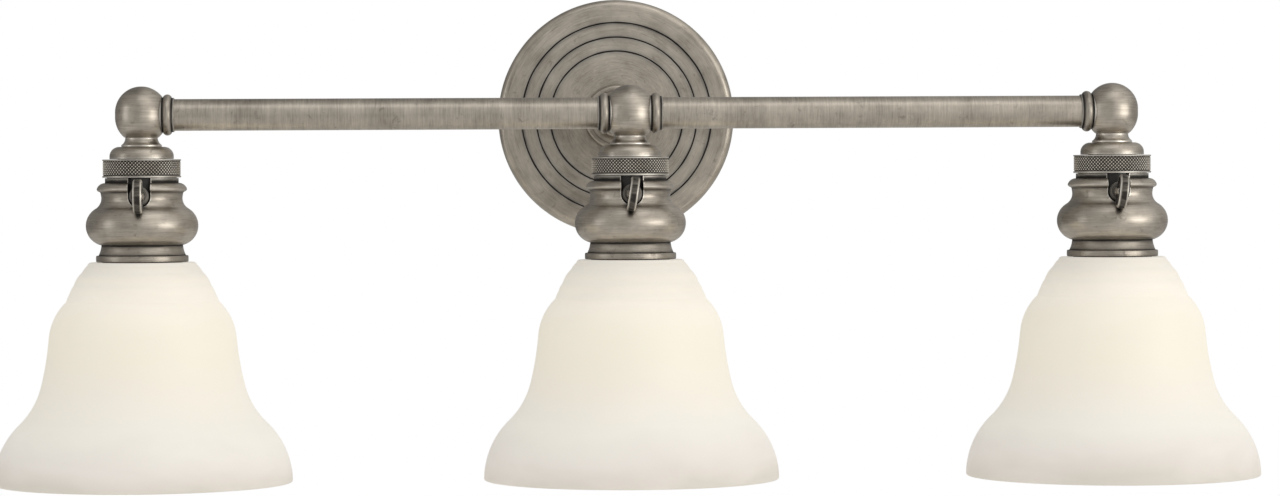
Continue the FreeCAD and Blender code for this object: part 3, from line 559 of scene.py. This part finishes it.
class Nodes:
    """A short way to build a material's node tree."""

    def __init__(self, name):
        self.material = bpy.data.materials.new(name)
        self.material.use_nodes = True
        self.tree = self.material.node_tree
        self.tree.nodes.clear()
        self.shader = self.add("ShaderNodeBsdfPrincipled")
        output = self.add("ShaderNodeOutputMaterial")
        self.tree.links.new(self.shader.outputs["BSDF"], output.inputs["Surface"])

    def add(self, kind, **settings):
        node = self.tree.nodes.new(kind)
        for key, value in settings.items():
            setattr(node, key, value)
        return node

    def feed(self, socket, value):
        if isinstance(value, bpy.types.NodeSocket):
            self.tree.links.new(value, socket)
        elif isinstance(value, (tuple, list)) and len(value) == 3 and socket.type == "RGBA":
            socket.default_value = (*value, 1.0)
        else:
            socket.default_value = value

    def set(self, name, value):
        self.feed(self.shader.inputs[name], value)

    def attribute(self, name, output="Fac"):
        return self.add("ShaderNodeAttribute", attribute_name=name).outputs[output]

    def place(self):
        return self.add("ShaderNodeTexCoord").outputs["Object"]

    def stretch(self, vector, scale):
        node = self.add("ShaderNodeVectorMath", operation="MULTIPLY")
        self.feed(node.inputs[0], vector)
        node.inputs[1].default_value = scale
        return node.outputs[0]

    def noise(self, vector, scale, detail=3.0, roughness=0.5, distortion=0.0):
        node = self.add("ShaderNodeTexNoise")
        self.feed(node.inputs["Vector"], vector)
        node.inputs["Scale"].default_value = scale
        node.inputs["Detail"].default_value = detail
        node.inputs["Roughness"].default_value = roughness
        node.inputs["Distortion"].default_value = distortion
        return node.outputs["Fac"]

    def math(self, operation, first, second=0.0, clamp=False):
        node = self.add("ShaderNodeMath", operation=operation, use_clamp=clamp)
        self.feed(node.inputs[0], first)
        self.feed(node.inputs[1], second)
        return node.outputs[0]

    def remap(self, value, low, high, to_low, to_high):
        node = self.add("ShaderNodeMapRange")
        self.feed(node.inputs["Value"], value)
        for key, number in (("From Min", low), ("From Max", high), ("To Min", to_low), ("To Max", to_high)):
            node.inputs[key].default_value = number
        return node.outputs["Result"]

    def mix(self, share, first, second):
        node = self.add("ShaderNodeMix", data_type="RGBA")
        self.feed(node.inputs["Factor"], share)
        self.feed(node.inputs[6], first)
        self.feed(node.inputs[7], second)
        return node.outputs[2]

    def bump(self, height, strength, distance):
        node = self.add("ShaderNodeBump")
        self.feed(node.inputs["Height"], height)
        node.inputs["Strength"].default_value = strength
        node.inputs["Distance"].default_value = distance
        self.set("Normal", node.outputs["Normal"])


def antique_nickel():
    """Darkened nickel, brushed back: streaks round each turned piece, painted shade in creases and recesses,
    edges rubbed bright and lifted by a painted highlight.
    """
    m = Nodes("antique_nickel")
    brush = m.attribute("brush", "Vector")
    fine = m.noise(m.stretch(brush, (260, 260, 7000)), 1.0, 3, 0.6)
    coarse = m.noise(m.stretch(brush, (90, 90, 1500)), 1.0, 2, 0.5)
    cloud = m.noise(m.place(), 60.0, 4, 0.6)
    stain = m.noise(m.place(), 210.0, 4, 0.65, 0.6)
    tone = m.math("ADD", m.math("MULTIPLY", fine, 0.4), m.math("MULTIPLY", coarse, 0.3))
    tone = m.math("ADD", tone, m.math("MULTIPLY", cloud, 0.5))
    base = m.mix(m.remap(tone, 0.42, 0.80, 0.0, 1.0), (0.27, 0.241, 0.205), (0.62, 0.568, 0.492))
    base = m.mix(m.remap(stain, 0.60, 0.74, 0.0, 0.55), base, (0.13, 0.112, 0.092))
    rubbed_highlight = m.math("MULTIPLY", m.attribute("wear_and_highlight"), m.remap(cloud, 0.3, 0.6, 0.55, 1.0), True)
    crease_shade = m.math("MULTIPLY", m.attribute("crease_shade"), m.remap(coarse, 0.3, 0.65, 1.1, 1.9), True)
    # Painted shade: the nickel turns near black where nearby surfaces close it in, in recesses and where
    # parts meet
    open_sky = m.add("ShaderNodeAmbientOcclusion", samples=4)
    open_sky.inputs["Distance"].default_value = 5 * MM
    recess_shade = m.remap(open_sky.outputs["AO"], 0.80, 0.30, 0.0, 1.0)
    base = m.mix(m.math("MULTIPLY", recess_shade, 0.9), base, (0.018, 0.015, 0.012))
    # Edges rubbed bright and lifted further by a painted highlight
    base = m.mix(m.math("MULTIPLY", rubbed_highlight, 0.9), base, (0.93, 0.895, 0.83))
    # Painted shade: creases go near black, less metallic and rougher
    base = m.mix(m.math("MULTIPLY", crease_shade, 0.96), base, (0.010, 0.008, 0.007))
    m.set("Base Color", base)
    m.set("Metallic", m.remap(crease_shade, 0.0, 1.0, 1.0, 0.6))
    satin = m.math("ADD", m.math("MULTIPLY", fine, 0.5), m.math("MULTIPLY", cloud, 0.5))
    smooth = m.remap(satin, 0.3, 0.7, 0.28, 0.43)
    m.set("Roughness", m.math("ADD", smooth, m.math("MULTIPLY", crease_shade, 0.3)))
    m.bump(m.math("ADD", m.math("MULTIPLY", fine, 0.7), m.math("MULTIPLY", coarse, 0.3)), 0.2, 0.00006)
    return m.material


def opal_glass():
    """Etched opal glass: whiter at the shoulder, creamy in the middle, greyer at the rim, faintly waved, and
    lit by a painted glow.
    """
    m = Nodes("opal_glass")
    place = m.place()
    height = m.add("ShaderNodeSeparateXYZ")
    m.feed(height.inputs[0], place)
    shoulder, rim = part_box("centre_glass_shade")[1].z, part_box("centre_glass_shade")[0].z
    wave = m.noise(m.stretch(place, (14, 14, 38)), 1.0, 3, 0.55, 0.4)
    swirl = m.noise(m.stretch(place, (30, 30, 16)), 1.0, 2, 0.5, 1.2)
    grain = m.noise(place, 2600.0, 2, 0.6)
    share = m.remap(height.outputs["Z"], rim, shoulder, 0.0, 1.0)
    share = m.math("ADD", share, m.remap(wave, 0.3, 0.7, -0.05, 0.05))
    # The last stops, at the top, darken into a painted shadow under the holder's flange
    ramp = m.add("ShaderNodeValToRGB")
    m.feed(ramp.inputs["Fac"], share)
    stops = ((0.0, (0.67, 0.63, 0.565)), (0.045, (0.74, 0.69, 0.63)), (0.12, (0.80, 0.76, 0.71)),
             (0.24, (0.87, 0.84, 0.77)), (0.40, (0.885, 0.84, 0.75)), (0.55, (0.90, 0.85, 0.73)),
             (0.70, (0.915, 0.865, 0.745)), (0.82, (0.94, 0.89, 0.79)), (0.91, (0.89, 0.84, 0.74)),
             (1.0, (0.80, 0.755, 0.68)))
    fill_ramp(ramp, stops)
    # Painted shade bands on the shoulder, one for each bead, mixed with the glass's own faint swirl
    ring_shade = m.math("SINE", m.math("MULTIPLY", height.outputs["Z"], 2 * math.pi / GLASS_RING_PITCH))
    ring_shade = m.math("MULTIPLY", m.remap(ring_shade, -1.0, 1.0, 0.0, 0.22), m.remap(share, 0.78, 0.90, 0.0, 1.0))
    swirl_and_ring_shade = m.math("ADD", m.remap(swirl, 0.35, 0.7, 0.0, 0.08), ring_shade)
    tone = m.mix(swirl_and_ring_shade, ramp.outputs["Color"], (0.80, 0.785, 0.74))
    # Painted glow: the glass emits its own colour in place of light falling on and through it, and its base
    # colour is halved towards grey to make room for it
    m.set("Base Color", m.mix(0.5, tone, (0.10, 0.095, 0.085)))
    m.set("Emission Color", tone)
    m.set("Emission Strength", 0.51)
    m.set("Roughness", m.remap(grain, 0.3, 0.7, 0.40, 0.52))
    m.set("Subsurface Weight", 0.3)
    m.shader.inputs["Subsurface Radius"].default_value = (1.0, 0.85, 0.65)
    m.shader.inputs["Subsurface Scale"].default_value = 0.006
    m.set("IOR", 1.5)
    m.set("Specular IOR Level", 0.3)
    m.bump(m.math("ADD", m.math("MULTIPLY", grain, 0.2), wave), 0.15, 0.0004)
    return m.material


def fill_ramp(ramp, stops):
    """Set a colour ramp's stops, each a position and a colour."""
    elements = ramp.color_ramp.elements
    while len(elements) < len(stops):
        elements.new(1.0)
    for element, (position, colour) in zip(elements, stops):
        element.position = position
        element.color = (*colour, 1.0)


def frosted_bulb():
    """Frosted lamp glass, milky under a fine grain."""
    m = Nodes("bulb_glass")
    grain = m.noise(m.place(), 900.0, 2, 0.6)
    m.set("Base Color", m.mix(grain, (0.86, 0.85, 0.82), (0.93, 0.92, 0.89)))
    m.set("Roughness", m.remap(grain, 0.3, 0.7, 0.28, 0.42))
    m.set("Subsurface Weight", 0.3)
    m.shader.inputs["Subsurface Radius"].default_value = (1.0, 0.9, 0.75)
    m.shader.inputs["Subsurface Scale"].default_value = 0.004
    return m.material


def plain_metal(name, light, dark, rough, scale=400.0):
    """Plated or rolled metal inside the lamp, mottled and finely scratched."""
    m = Nodes(name)
    place = m.place()
    cloud = m.noise(place, scale / 4, 3, 0.55)
    scratch = m.noise(m.stretch(place, (1, 1, 9)), scale * 4, 3, 0.65)
    m.set("Base Color", m.mix(m.math("MULTIPLY", m.math("ADD", cloud, scratch), 0.5), dark, light))
    m.set("Metallic", 1.0)
    m.set("Roughness", m.remap(cloud, 0.3, 0.7, rough - 0.06, rough + 0.1))
    m.bump(scratch, 0.15, 0.00005)
    return m.material


def moulding(name, light, dark, rough, scale=900.0, bump=0.2):
    """Moulded plastic, rubber or paint: a fine grain with a faint mottle."""
    m = Nodes(name)
    place = m.place()
    cloud = m.noise(place, scale / 12, 3, 0.5)
    grain = m.noise(place, scale, 2, 0.6)
    m.set("Base Color", m.mix(cloud, dark, light))
    m.set("Roughness", m.remap(cloud, 0.3, 0.7, rough - 0.05, rough + 0.08))
    m.bump(grain, bump, 0.00005)
    return m.material


# Light colour, dark colour and roughness of each plain metal and each moulding
PLAIN_METALS = {
    "zinc_steel": ((0.62, 0.62, 0.60), (0.40, 0.40, 0.38), 0.38),
    "brass": ((0.75, 0.55, 0.26), (0.48, 0.33, 0.14), 0.30),
    "bulb_metal": ((0.70, 0.69, 0.66), (0.50, 0.49, 0.46), 0.32),
}
MOULDINGS = {
    "green_steel": ((0.03, 0.20, 0.06), (0.02, 0.13, 0.04), 0.35),
    "black_phenolic": ((0.022, 0.020, 0.018), (0.010, 0.009, 0.008), 0.34),
    "rubber_gasket": ((0.72, 0.70, 0.66), (0.60, 0.58, 0.54), 0.7),
    "black_insulation": ((0.03, 0.03, 0.03), (0.016, 0.016, 0.016), 0.5),
    "white_insulation": ((0.78, 0.77, 0.74), (0.68, 0.67, 0.64), 0.5),
}
MATERIALS = {
    "antique_nickel": antique_nickel(),
    "opal_glass": opal_glass(),
    "bulb_glass": frosted_bulb(),
    **{name: plain_metal(name, *look) for name, look in PLAIN_METALS.items()},
    **{name: moulding(name, *look) for name, look in MOULDINGS.items()},
}


def dress_cad_nodes():
    """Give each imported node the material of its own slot."""
    for part in frame["record"]["subparts"]:
        mesh = frame["nodes"][part["node"]].data
        mesh.materials.clear()
        mesh.materials.append(MATERIALS[part["material_slot"]])


# ------------------------------------------------------------------ the light bar's pieces


def make_plate_and_arm():
    """The spun backplate, and the arm's flange and tube."""
    centre = Vector((0, 0, 0))
    turned_piece(
        "backplate_spun", "backplate", centre, OUT, "root", "antique_nickel", SEGMENTS_LARGE, holed=True
    )
    turned_piece("arm_flange_turned", "arm_flange", centre, OUT, "root", "antique_nickel")
    turned_piece("arm_tube_drawn", "arm_tube", centre, OUT, "root", "antique_nickel")


def make_bar():
    """The two bar tubes and the five collars."""
    centre = lamp_centre("centre")
    for side in ("left", "right"):
        node = f"{side}_bar_tube"
        turned_piece(f"{node}_drawn", node, centre, (1, 0, 0), "root", "antique_nickel")
    make_collars()


def make_collars():
    """One turned collar for each place where a tube or the arm meets a ball, joined in one piece."""
    made = []
    for side, axis in COLLAR_SEATS:
        centre = lamp_centre(side)
        outline = Outline(outline_of("tube_collars", centre, axis, COLLAR_SPAN))
        made.append(new_object("collar", spin(outline, centre, axis, SEGMENTS_COLLAR)))
    join_pieces(made, "tube_collars_turned", "root", "antique_nickel", "tube_collars")


def make_head(side):
    """One lamp: ball, neck, dome, knurled ring, holder, key, glass and bulb."""
    centre = lamp_centre(side)
    make_ball(side, centre)
    for node, word in (("neck_ring", "turned"), ("dome_cap", "spun")):
        turned_piece(f"{side}_{node}_{word}", f"{side}_{node}", centre, UP, "root", "antique_nickel")
    make_knurled_ring(side, centre)
    make_holder(side, centre)
    make_key(side, centre)
    turned_piece(
        f"{side}_glass_shade_blown", f"{side}_glass_shade", centre, UP, f"{side}_hood", "opal_glass",
        SEGMENTS_LARGE, edge_round=EDGE_ROUND_GLASS, step=GLASS_STEP,
    )
    turned_piece(
        f"{side}_bulb_glass_blown", f"{side}_bulb_glass", centre, UP, f"{side}_bulb", "bulb_glass",
        SEGMENTS_BULB, step=GLASS_STEP,
    )


def rod_outline(radius, length):
    """The outline of a plain round rod."""
    return Outline(np.array([(0, 0), (radius, 0), (radius, length), (0, length)]))


def make_ball(side, centre):
    """A hollow cast ball, bored where the bar's tubes and the arm enter it."""
    node = f"{side}_ball"
    outline = Outline(outline_of(node, centre, UP))
    obj = add_piece(f"{node}_cast", spin(outline, centre, UP, SEGMENTS_BALL), "root", "antique_nickel", node)
    for axis in BALL_BORES[side]:
        start = centre + Vector(axis) * BORE_START
        cut_away(obj, spin(rod_outline(TUBE_RADIUS, BORE_LENGTH), start, axis, SEGMENTS_COLLAR))
    mark_again(obj, outline, centre, UP)


def make_knurled_ring(side, centre):
    """The coupling ring: a turned blank, and on it a diamond knurl between two plain lips."""
    node = f"{side}_knurled_ring"
    low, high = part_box(node)
    radius = (high.x - low.x) / 2
    points = outline_of(node, centre, UP)
    band = np.abs(points[:, 0] - radius + LIP_HEIGHT) < ON_EDGE
    points[band, 0] -= KNURL_DEPTH
    blank = new_object("ring_blank", spin(Outline(points, EDGE_ROUND_RING), centre, UP, SEGMENTS_LARGE))
    foot, top = low.z + KNURL_ABOVE_FOOT - centre.z, high.z - KNURL_BELOW_TOP - centre.z
    knurl = new_object("knurl_band", knurl_mesh(centre, radius, foot, top))
    join_pieces([blank, knurl], f"{node}_cut", f"{side}_coupling", "antique_nickel", node)


def knurl_mesh(centre, radius, foot, top):
    """An open band of diamonds, with painted shade in its grooves and wear and painted highlight on its
    ridges, for round the ring blank.
    """
    segments = KNURL_TEETH * KNURL_STEPS
    pitch = 2 * math.pi * radius / KNURL_TEETH
    rows = round((top - foot) / (pitch / KNURL_STEPS))
    column, row = np.meshgrid(np.arange(segments), np.arange(rows + 1))
    turn = column * 2 * math.pi / segments
    climb = row / KNURL_STEPS
    around = column / KNURL_STEPS
    wedge = np.minimum(ridge(around + climb), ridge(around - climb))
    end = np.minimum(row, rows - row) / KNURL_STEPS
    wedge = np.minimum(wedge, end * 4)
    r = radius - KNURL_INSET - KNURL_DEPTH * (1 - wedge)
    height = foot + (top - foot) * row / rows
    local = np.stack((r * np.cos(turn), r * np.sin(turn), height), axis=-1)
    index = np.arange((rows + 1) * segments).reshape(rows + 1, segments)
    following = np.roll(index, -1, axis=1)
    faces = np.stack((index[:-1], following[:-1], following[1:], index[1:]), axis=-1).reshape(-1, 4)
    mesh = bpy.data.meshes.new("knurl")
    mesh.from_pydata((local.reshape(-1, 3) + np.array(centre)).tolist(), [], faces.tolist())
    # Painted shade in the grooves; wear and painted highlight on the ridges
    store(mesh, "crease_shade", np.clip(1.15 - wedge.ravel() * 2.6, 0, 1))
    store(mesh, "wear_and_highlight", np.clip(wedge.ravel() * 2.2 - 0.9, 0, 1))
    store_vector(mesh, "brush", local)
    return mesh


def ridge(phase):
    """A triangle wave, 0 in each groove and 1 on each ridge."""
    return 1 - np.abs(2 * (phase % 1.0) - 1)


def make_holder(side, centre):
    """The spun shade holder, with the U slot for the switch cut through its front wall."""
    node = f"{side}_shade_holder"
    outline = Outline(outline_of(node, centre, UP))
    mesh = spin(outline, centre, UP, SEGMENTS_HOLDER)
    obj = add_piece(f"{node}_spun", mesh, f"{side}_hood", "antique_nickel", node)
    cut_slot(obj, centre)
    mark_again(obj, outline, centre, UP)
    brighten_slot(obj.data, centre)


def brighten_slot(mesh, centre):
    """Paint a highlight along the slot's edges through the wear and highlight grade, and clear their crease
    shade.
    """
    half = SLOT_WIDTH / 2
    local = np.array([v.co for v in mesh.vertices], float) - np.array(centre)
    below = np.minimum(local[:, 2] + SLOT_DROP - half, 0)
    gap = np.abs(np.hypot(local[:, 0], below) - half)
    outside = np.hypot(local[:, 0], local[:, 1]) > HOLDER_INSIDE
    edge = (gap < ON_EDGE) & (local[:, 1] < 0) & outside
    for name, share in (("wear_and_highlight", 0.9), ("crease_shade", 0.0)):
        values = np.zeros(len(local), np.float32)
        mesh.attributes[name].data.foreach_get("value", values)
        store(mesh, name, np.where(edge, share, values))


def cut_slot(obj, centre):
    """Cut a slot with straight sides and a round foot, open at the top, out of a turned shell's front."""
    half = SLOT_WIDTH / 2
    shape = bmesh.new()
    rim = [(half, 0.0), (-half, 0.0)]
    turns = np.linspace(0, math.pi, SLOT_FOOT_POINTS)
    rim += [(-half * math.cos(a), -SLOT_DROP + half - half * math.sin(a)) for a in turns]
    front = [shape.verts.new((centre.x + x, centre.y - SLOT_REACH, centre.z + z)) for x, z in rim]
    face = shape.faces.new(front)
    pulled = bmesh.ops.extrude_face_region(shape, geom=[face])
    moved = [item for item in pulled["geom"] if isinstance(item, bmesh.types.BMVert)]
    bmesh.ops.translate(shape, vec=(0, SLOT_REACH, 0), verts=moved)
    bmesh.ops.recalc_face_normals(shape, faces=shape.faces)
    mesh = bpy.data.meshes.new("slot_cutter")
    shape.to_mesh(mesh)
    shape.free()
    cut_away(obj, mesh)


def cut_away(obj, cutter_mesh):
    """Take a closed mesh away from a turned piece."""
    cutter = new_object("cutter", cutter_mesh)
    cut = obj.modifiers.new("cut", "BOOLEAN")
    cut.operation = "DIFFERENCE"
    cut.solver = "EXACT"
    cut.object = cutter
    bpy.context.view_layer.update()
    result = bpy.data.meshes.new_from_object(obj.evaluated_get(bpy.context.evaluated_depsgraph_get()))
    obj.modifiers.clear()
    obj.data = result
    result.shade_smooth()
    result.set_sharp_from_angle(angle=SHARP_ANGLE)
    bpy.data.objects.remove(cutter)


def make_key(side, centre):
    """The switch key: an oval paddle on edge, with an eye, on a turned stem that leaves a washered boss."""
    node = f"{side}_key"
    low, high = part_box(node)
    axis_z = (low.z + high.z) / 2
    half_thick, half_high, tilt = paddle_sizes(node, low)
    paddle = new_object("paddle", paddle_mesh(half_thick, half_high))
    eye_place = (-EYE_START, -PADDLE_HALF_DEPTH + EYE_INSET, 0)
    cut_away(paddle, spin(rod_outline(EYE_RADIUS, 2 * EYE_START), eye_place, (1, 0, 0), SEGMENTS_EYE))
    pivot = Vector((centre.x, low.y + PADDLE_HALF_DEPTH, axis_z))
    paddle.data.transform(Matrix.Translation(pivot) @ Matrix.Rotation(tilt, 4, "Y"))
    stem_end = low.y + 2 * PADDLE_HALF_DEPTH - STEM_OVERLAP
    stem_centre = (centre.x, high.y, axis_z)
    stem = Outline(stem_outline(high.y - stem_end))
    rod = new_object("stem", spin(stem, stem_centre, OUT, SEGMENTS_STEM))
    join_pieces([paddle, rod], f"{side}_key_pressed", f"{side}_switch", "antique_nickel", node)
    boss_end = Vector((centre.x, centre.y - BOSS_REACH, axis_z))
    washer = np.array([(2.45, -0.9), (4.9, -0.9), (4.9, 0.05), (4.2, 0.75), (2.45, 0.75)]) * MM
    ring = spin(Outline(washer, EDGE_ROUND_WASHER), boss_end, OUT, SEGMENTS_WASHER)
    # Painted shade: the washer is darkened all over through the crease grade, as it sits in the shaded slot
    store(ring, "crease_shade", np.full(len(ring.vertices), 0.5))
    add_piece(f"{side}_key_washer", ring, "root", "antique_nickel")


def paddle_sizes(node, low):
    """Half the paddle's thickness and height, and its tilt, from its CAD points."""
    points = np.array([v.co for v in frame["nodes"][node].data.vertices], float)
    paddle = points[points[:, 1] < low.y + PADDLE_END]
    spread = paddle - (paddle.max(axis=0) + paddle.min(axis=0)) / 2
    leading = np.linalg.svd(spread[:, [0, 2]], full_matrices=False)[2][0]
    tilt = math.atan(leading[0] / leading[1])
    turned = spread @ np.array(Matrix.Rotation(-tilt, 3, "Y").transposed())
    return np.abs(turned[:, 0]).max(), np.abs(turned[:, 2]).max(), tilt


def paddle_mesh(half_thick, half_high):
    """An oval plate with rounded rims and a shallow dish in each face, with painted highlights along its rims
    and painted shade on its faces.
    """
    shape = bmesh.new()
    turns = np.linspace(0, 2 * math.pi, SEGMENTS_PADDLE, endpoint=False)
    rim = [(PADDLE_HALF_DEPTH * math.cos(a), half_high * math.sin(a)) for a in turns]
    levels = [(-1, 0.80), (-1, 0.90), (-0.84, 0.965), (-0.5, 1.0)]
    levels += [(-x, k) for x, k in levels[::-1]]
    loops = [[shape.verts.new((half_thick * x, y * k, z * k)) for y, z in rim] for x, k in levels]
    half_dish = half_thick * PADDLE_DISH
    low_dish, high_dish = (
        [shape.verts.new((x, y * 0.74, z * 0.76)) for y, z in rim] for x in (-half_dish, half_dish)
    )
    shape.faces.new(low_dish)
    shape.faces.new(high_dish[::-1])
    # Known fault: the last level belongs before high_dish. Joined on behind it, as here, it leaves an open
    # ring of faces on one side of the paddle.
    loops = [low_dish, *loops[:-1], high_dish, loops[-1]]
    for lower, upper in zip(loops, loops[1:]):
        for i in range(len(rim)):
            j = (i + 1) % len(rim)
            shape.faces.new((lower[i], lower[j], upper[j], upper[i]))
    bmesh.ops.recalc_face_normals(shape, faces=shape.faces)
    mesh = bpy.data.meshes.new("paddle")
    shape.to_mesh(mesh)
    shape.free()
    # Painted highlights on the face edges and rim shoulders, painted shade on the faces, the dishes and the
    # middle of the rim.
    # One value for each ring of vertices as made: the eight levels, then the two dishes
    rubbed_highlight = (0.0, 0.9, 0.6, 0.0, 0.0, 0.6, 0.9, 0.0, 0.0, 0.0)
    dark = (0.9, 0.0, 0.0, 0.55, 0.55, 0.0, 0.0, 0.9, 0.5, 0.5)
    store(mesh, "wear_and_highlight", np.repeat(rubbed_highlight, len(rim)))
    store(mesh, "crease_shade", np.repeat(dark, len(rim)))
    co = np.array([v.co for v in mesh.vertices], float)
    store_vector(mesh, "brush", co[:, [1, 0, 2]] * (1, 1, 0.35))
    return mesh


def stem_outline(length):
    """A rod with a small shoulder where the paddle grows out of it."""
    start = length - SHOULDER_START
    return np.array([
        (0, 0),
        (STEM_RADIUS, 0),
        (STEM_RADIUS, start),
        (SHOULDER_RADIUS, start + SHOULDER_RISE),
        (SHOULDER_RADIUS, start + SHOULDER_END),
        (STEM_RADIUS * 0.8, length),
        (0, length),
    ])


# ------------------------------------------------------------------ studio


def make_camera():
    """The photo's camera, aimed from its yaw, pitch and roll."""
    forward = Vector((
        math.sin(CAMERA_YAW) * math.cos(CAMERA_PITCH),
        math.cos(CAMERA_YAW) * math.cos(CAMERA_PITCH),
        math.sin(CAMERA_PITCH),
    ))
    level = Vector((math.cos(CAMERA_YAW), -math.sin(CAMERA_YAW), 0))
    upward = level.cross(forward)
    right = level * math.cos(CAMERA_ROLL) + upward * math.sin(CAMERA_ROLL)
    top = upward * math.cos(CAMERA_ROLL) - level * math.sin(CAMERA_ROLL)
    data = bpy.data.cameras.new("camera")
    data.sensor_width = SENSOR_MM
    data.lens = CAMERA_FOCAL_PX / IMAGE_WIDTH_PX * SENSOR_MM
    data.clip_end = CAMERA_FAR
    camera = new_object("camera", data)
    turn = Matrix((right, top, -forward)).transposed().to_4x4()
    camera.matrix_world = Matrix.Translation(CAMERA_PLACE) @ turn
    bpy.context.scene.camera = camera


def add_softbox(name, place, size, power, colour):
    """A rectangular light that points at the lit middle."""
    data = bpy.data.lights.new(name, "AREA")
    data.shape = "RECTANGLE"
    data.size, data.size_y = size
    data.energy = power
    data.color = colour
    obj = new_object(name, data)
    obj.location = place
    obj.rotation_euler = (Vector(LIT_MIDDLE) - Vector(place)).to_track_quat("-Z", "Y").to_euler()


def add_range(tree, source, ends, interpolation="LINEAR"):
    """A node that maps a value from one range to another."""
    node = tree.nodes.new("ShaderNodeMapRange")
    node.interpolation_type = interpolation
    for key, value in zip(("From Min", "From Max", "To Min", "To Max"), ends):
        node.inputs[key].default_value = value
    tree.links.new(source, node.inputs["Value"])
    return node.outputs["Result"]


def add_product(tree, first, second):
    """A node that multiplies two values."""
    node = tree.nodes.new("ShaderNodeMath")
    node.operation = "MULTIPLY"
    tree.links.new(first, node.inputs[0])
    tree.links.new(second, node.inputs[1])
    return node.outputs[0]


def make_surroundings():
    """White where the camera looks past the light bar; as a light, brightest in front and uneven sideways."""
    world = bpy.data.worlds.new("studio")
    bpy.context.scene.world = world
    world.use_nodes = True
    tree = world.node_tree
    tree.nodes.clear()
    output = tree.nodes.new("ShaderNodeOutputWorld")
    seen = tree.nodes.new("ShaderNodeBackground")
    seen.inputs["Color"].default_value = (1, 1, 1, 1)
    lit = tree.nodes.new("ShaderNodeBackground")
    lit.inputs["Color"].default_value = (*ROOM_COLOUR, 1)
    way = tree.nodes.new("ShaderNodeTexCoord")
    split = tree.nodes.new("ShaderNodeSeparateXYZ")
    tree.links.new(way.outputs["Generated"], split.inputs[0])
    forward = add_range(tree, split.outputs["Y"], (0.9, -0.7, ROOM_BACK, ROOM_FRONT), "SMOOTHSTEP")
    upward = add_range(tree, split.outputs["Z"], (-0.8, 0.5, ROOM_BELOW, 1.0), "SMOOTHSTEP")
    sideways = add_range(tree, split.outputs["X"], (-1.0, 1.0, 0.0, 1.0))
    ramp = tree.nodes.new("ShaderNodeValToRGB")
    tree.links.new(sideways, ramp.inputs["Fac"])
    fill_ramp(ramp, [(place, (grey, grey, grey)) for place, grey in ROOM_SIDEWAYS])
    strength = add_product(tree, add_product(tree, forward, upward), ramp.outputs["Color"])
    tree.links.new(strength, lit.inputs["Strength"])
    path = tree.nodes.new("ShaderNodeLightPath")
    mix = tree.nodes.new("ShaderNodeMixShader")
    tree.links.new(path.outputs["Is Camera Ray"], mix.inputs[0])
    tree.links.new(lit.outputs[0], mix.inputs[1])
    tree.links.new(seen.outputs[0], mix.inputs[2])
    tree.links.new(mix.outputs[0], output.inputs["Surface"])


def make_studio():
    """The surroundings, the softboxes and a pale floor."""
    make_surroundings()
    for softbox in SOFTBOXES:
        add_softbox(*softbox)
    bpy.ops.mesh.primitive_circle_add(
        vertices=SEGMENTS_FLOOR, radius=FLOOR_RADIUS, fill_type="NGON", location=FLOOR_PLACE
    )
    floor = bpy.context.object
    floor.name = "studio_floor"
    paint = moulding("studio_floor", (0.95, 0.945, 0.935), (0.92, 0.915, 0.905), 0.8, 60.0, 0.05)
    floor.data.materials.append(paint)
    bpy.context.scene.view_settings.view_transform = "Standard"


make_camera()
make_studio()
dress_cad_nodes()
make_plate_and_arm()
make_bar()
for lamp in LAMPS:
    make_head(lamp)
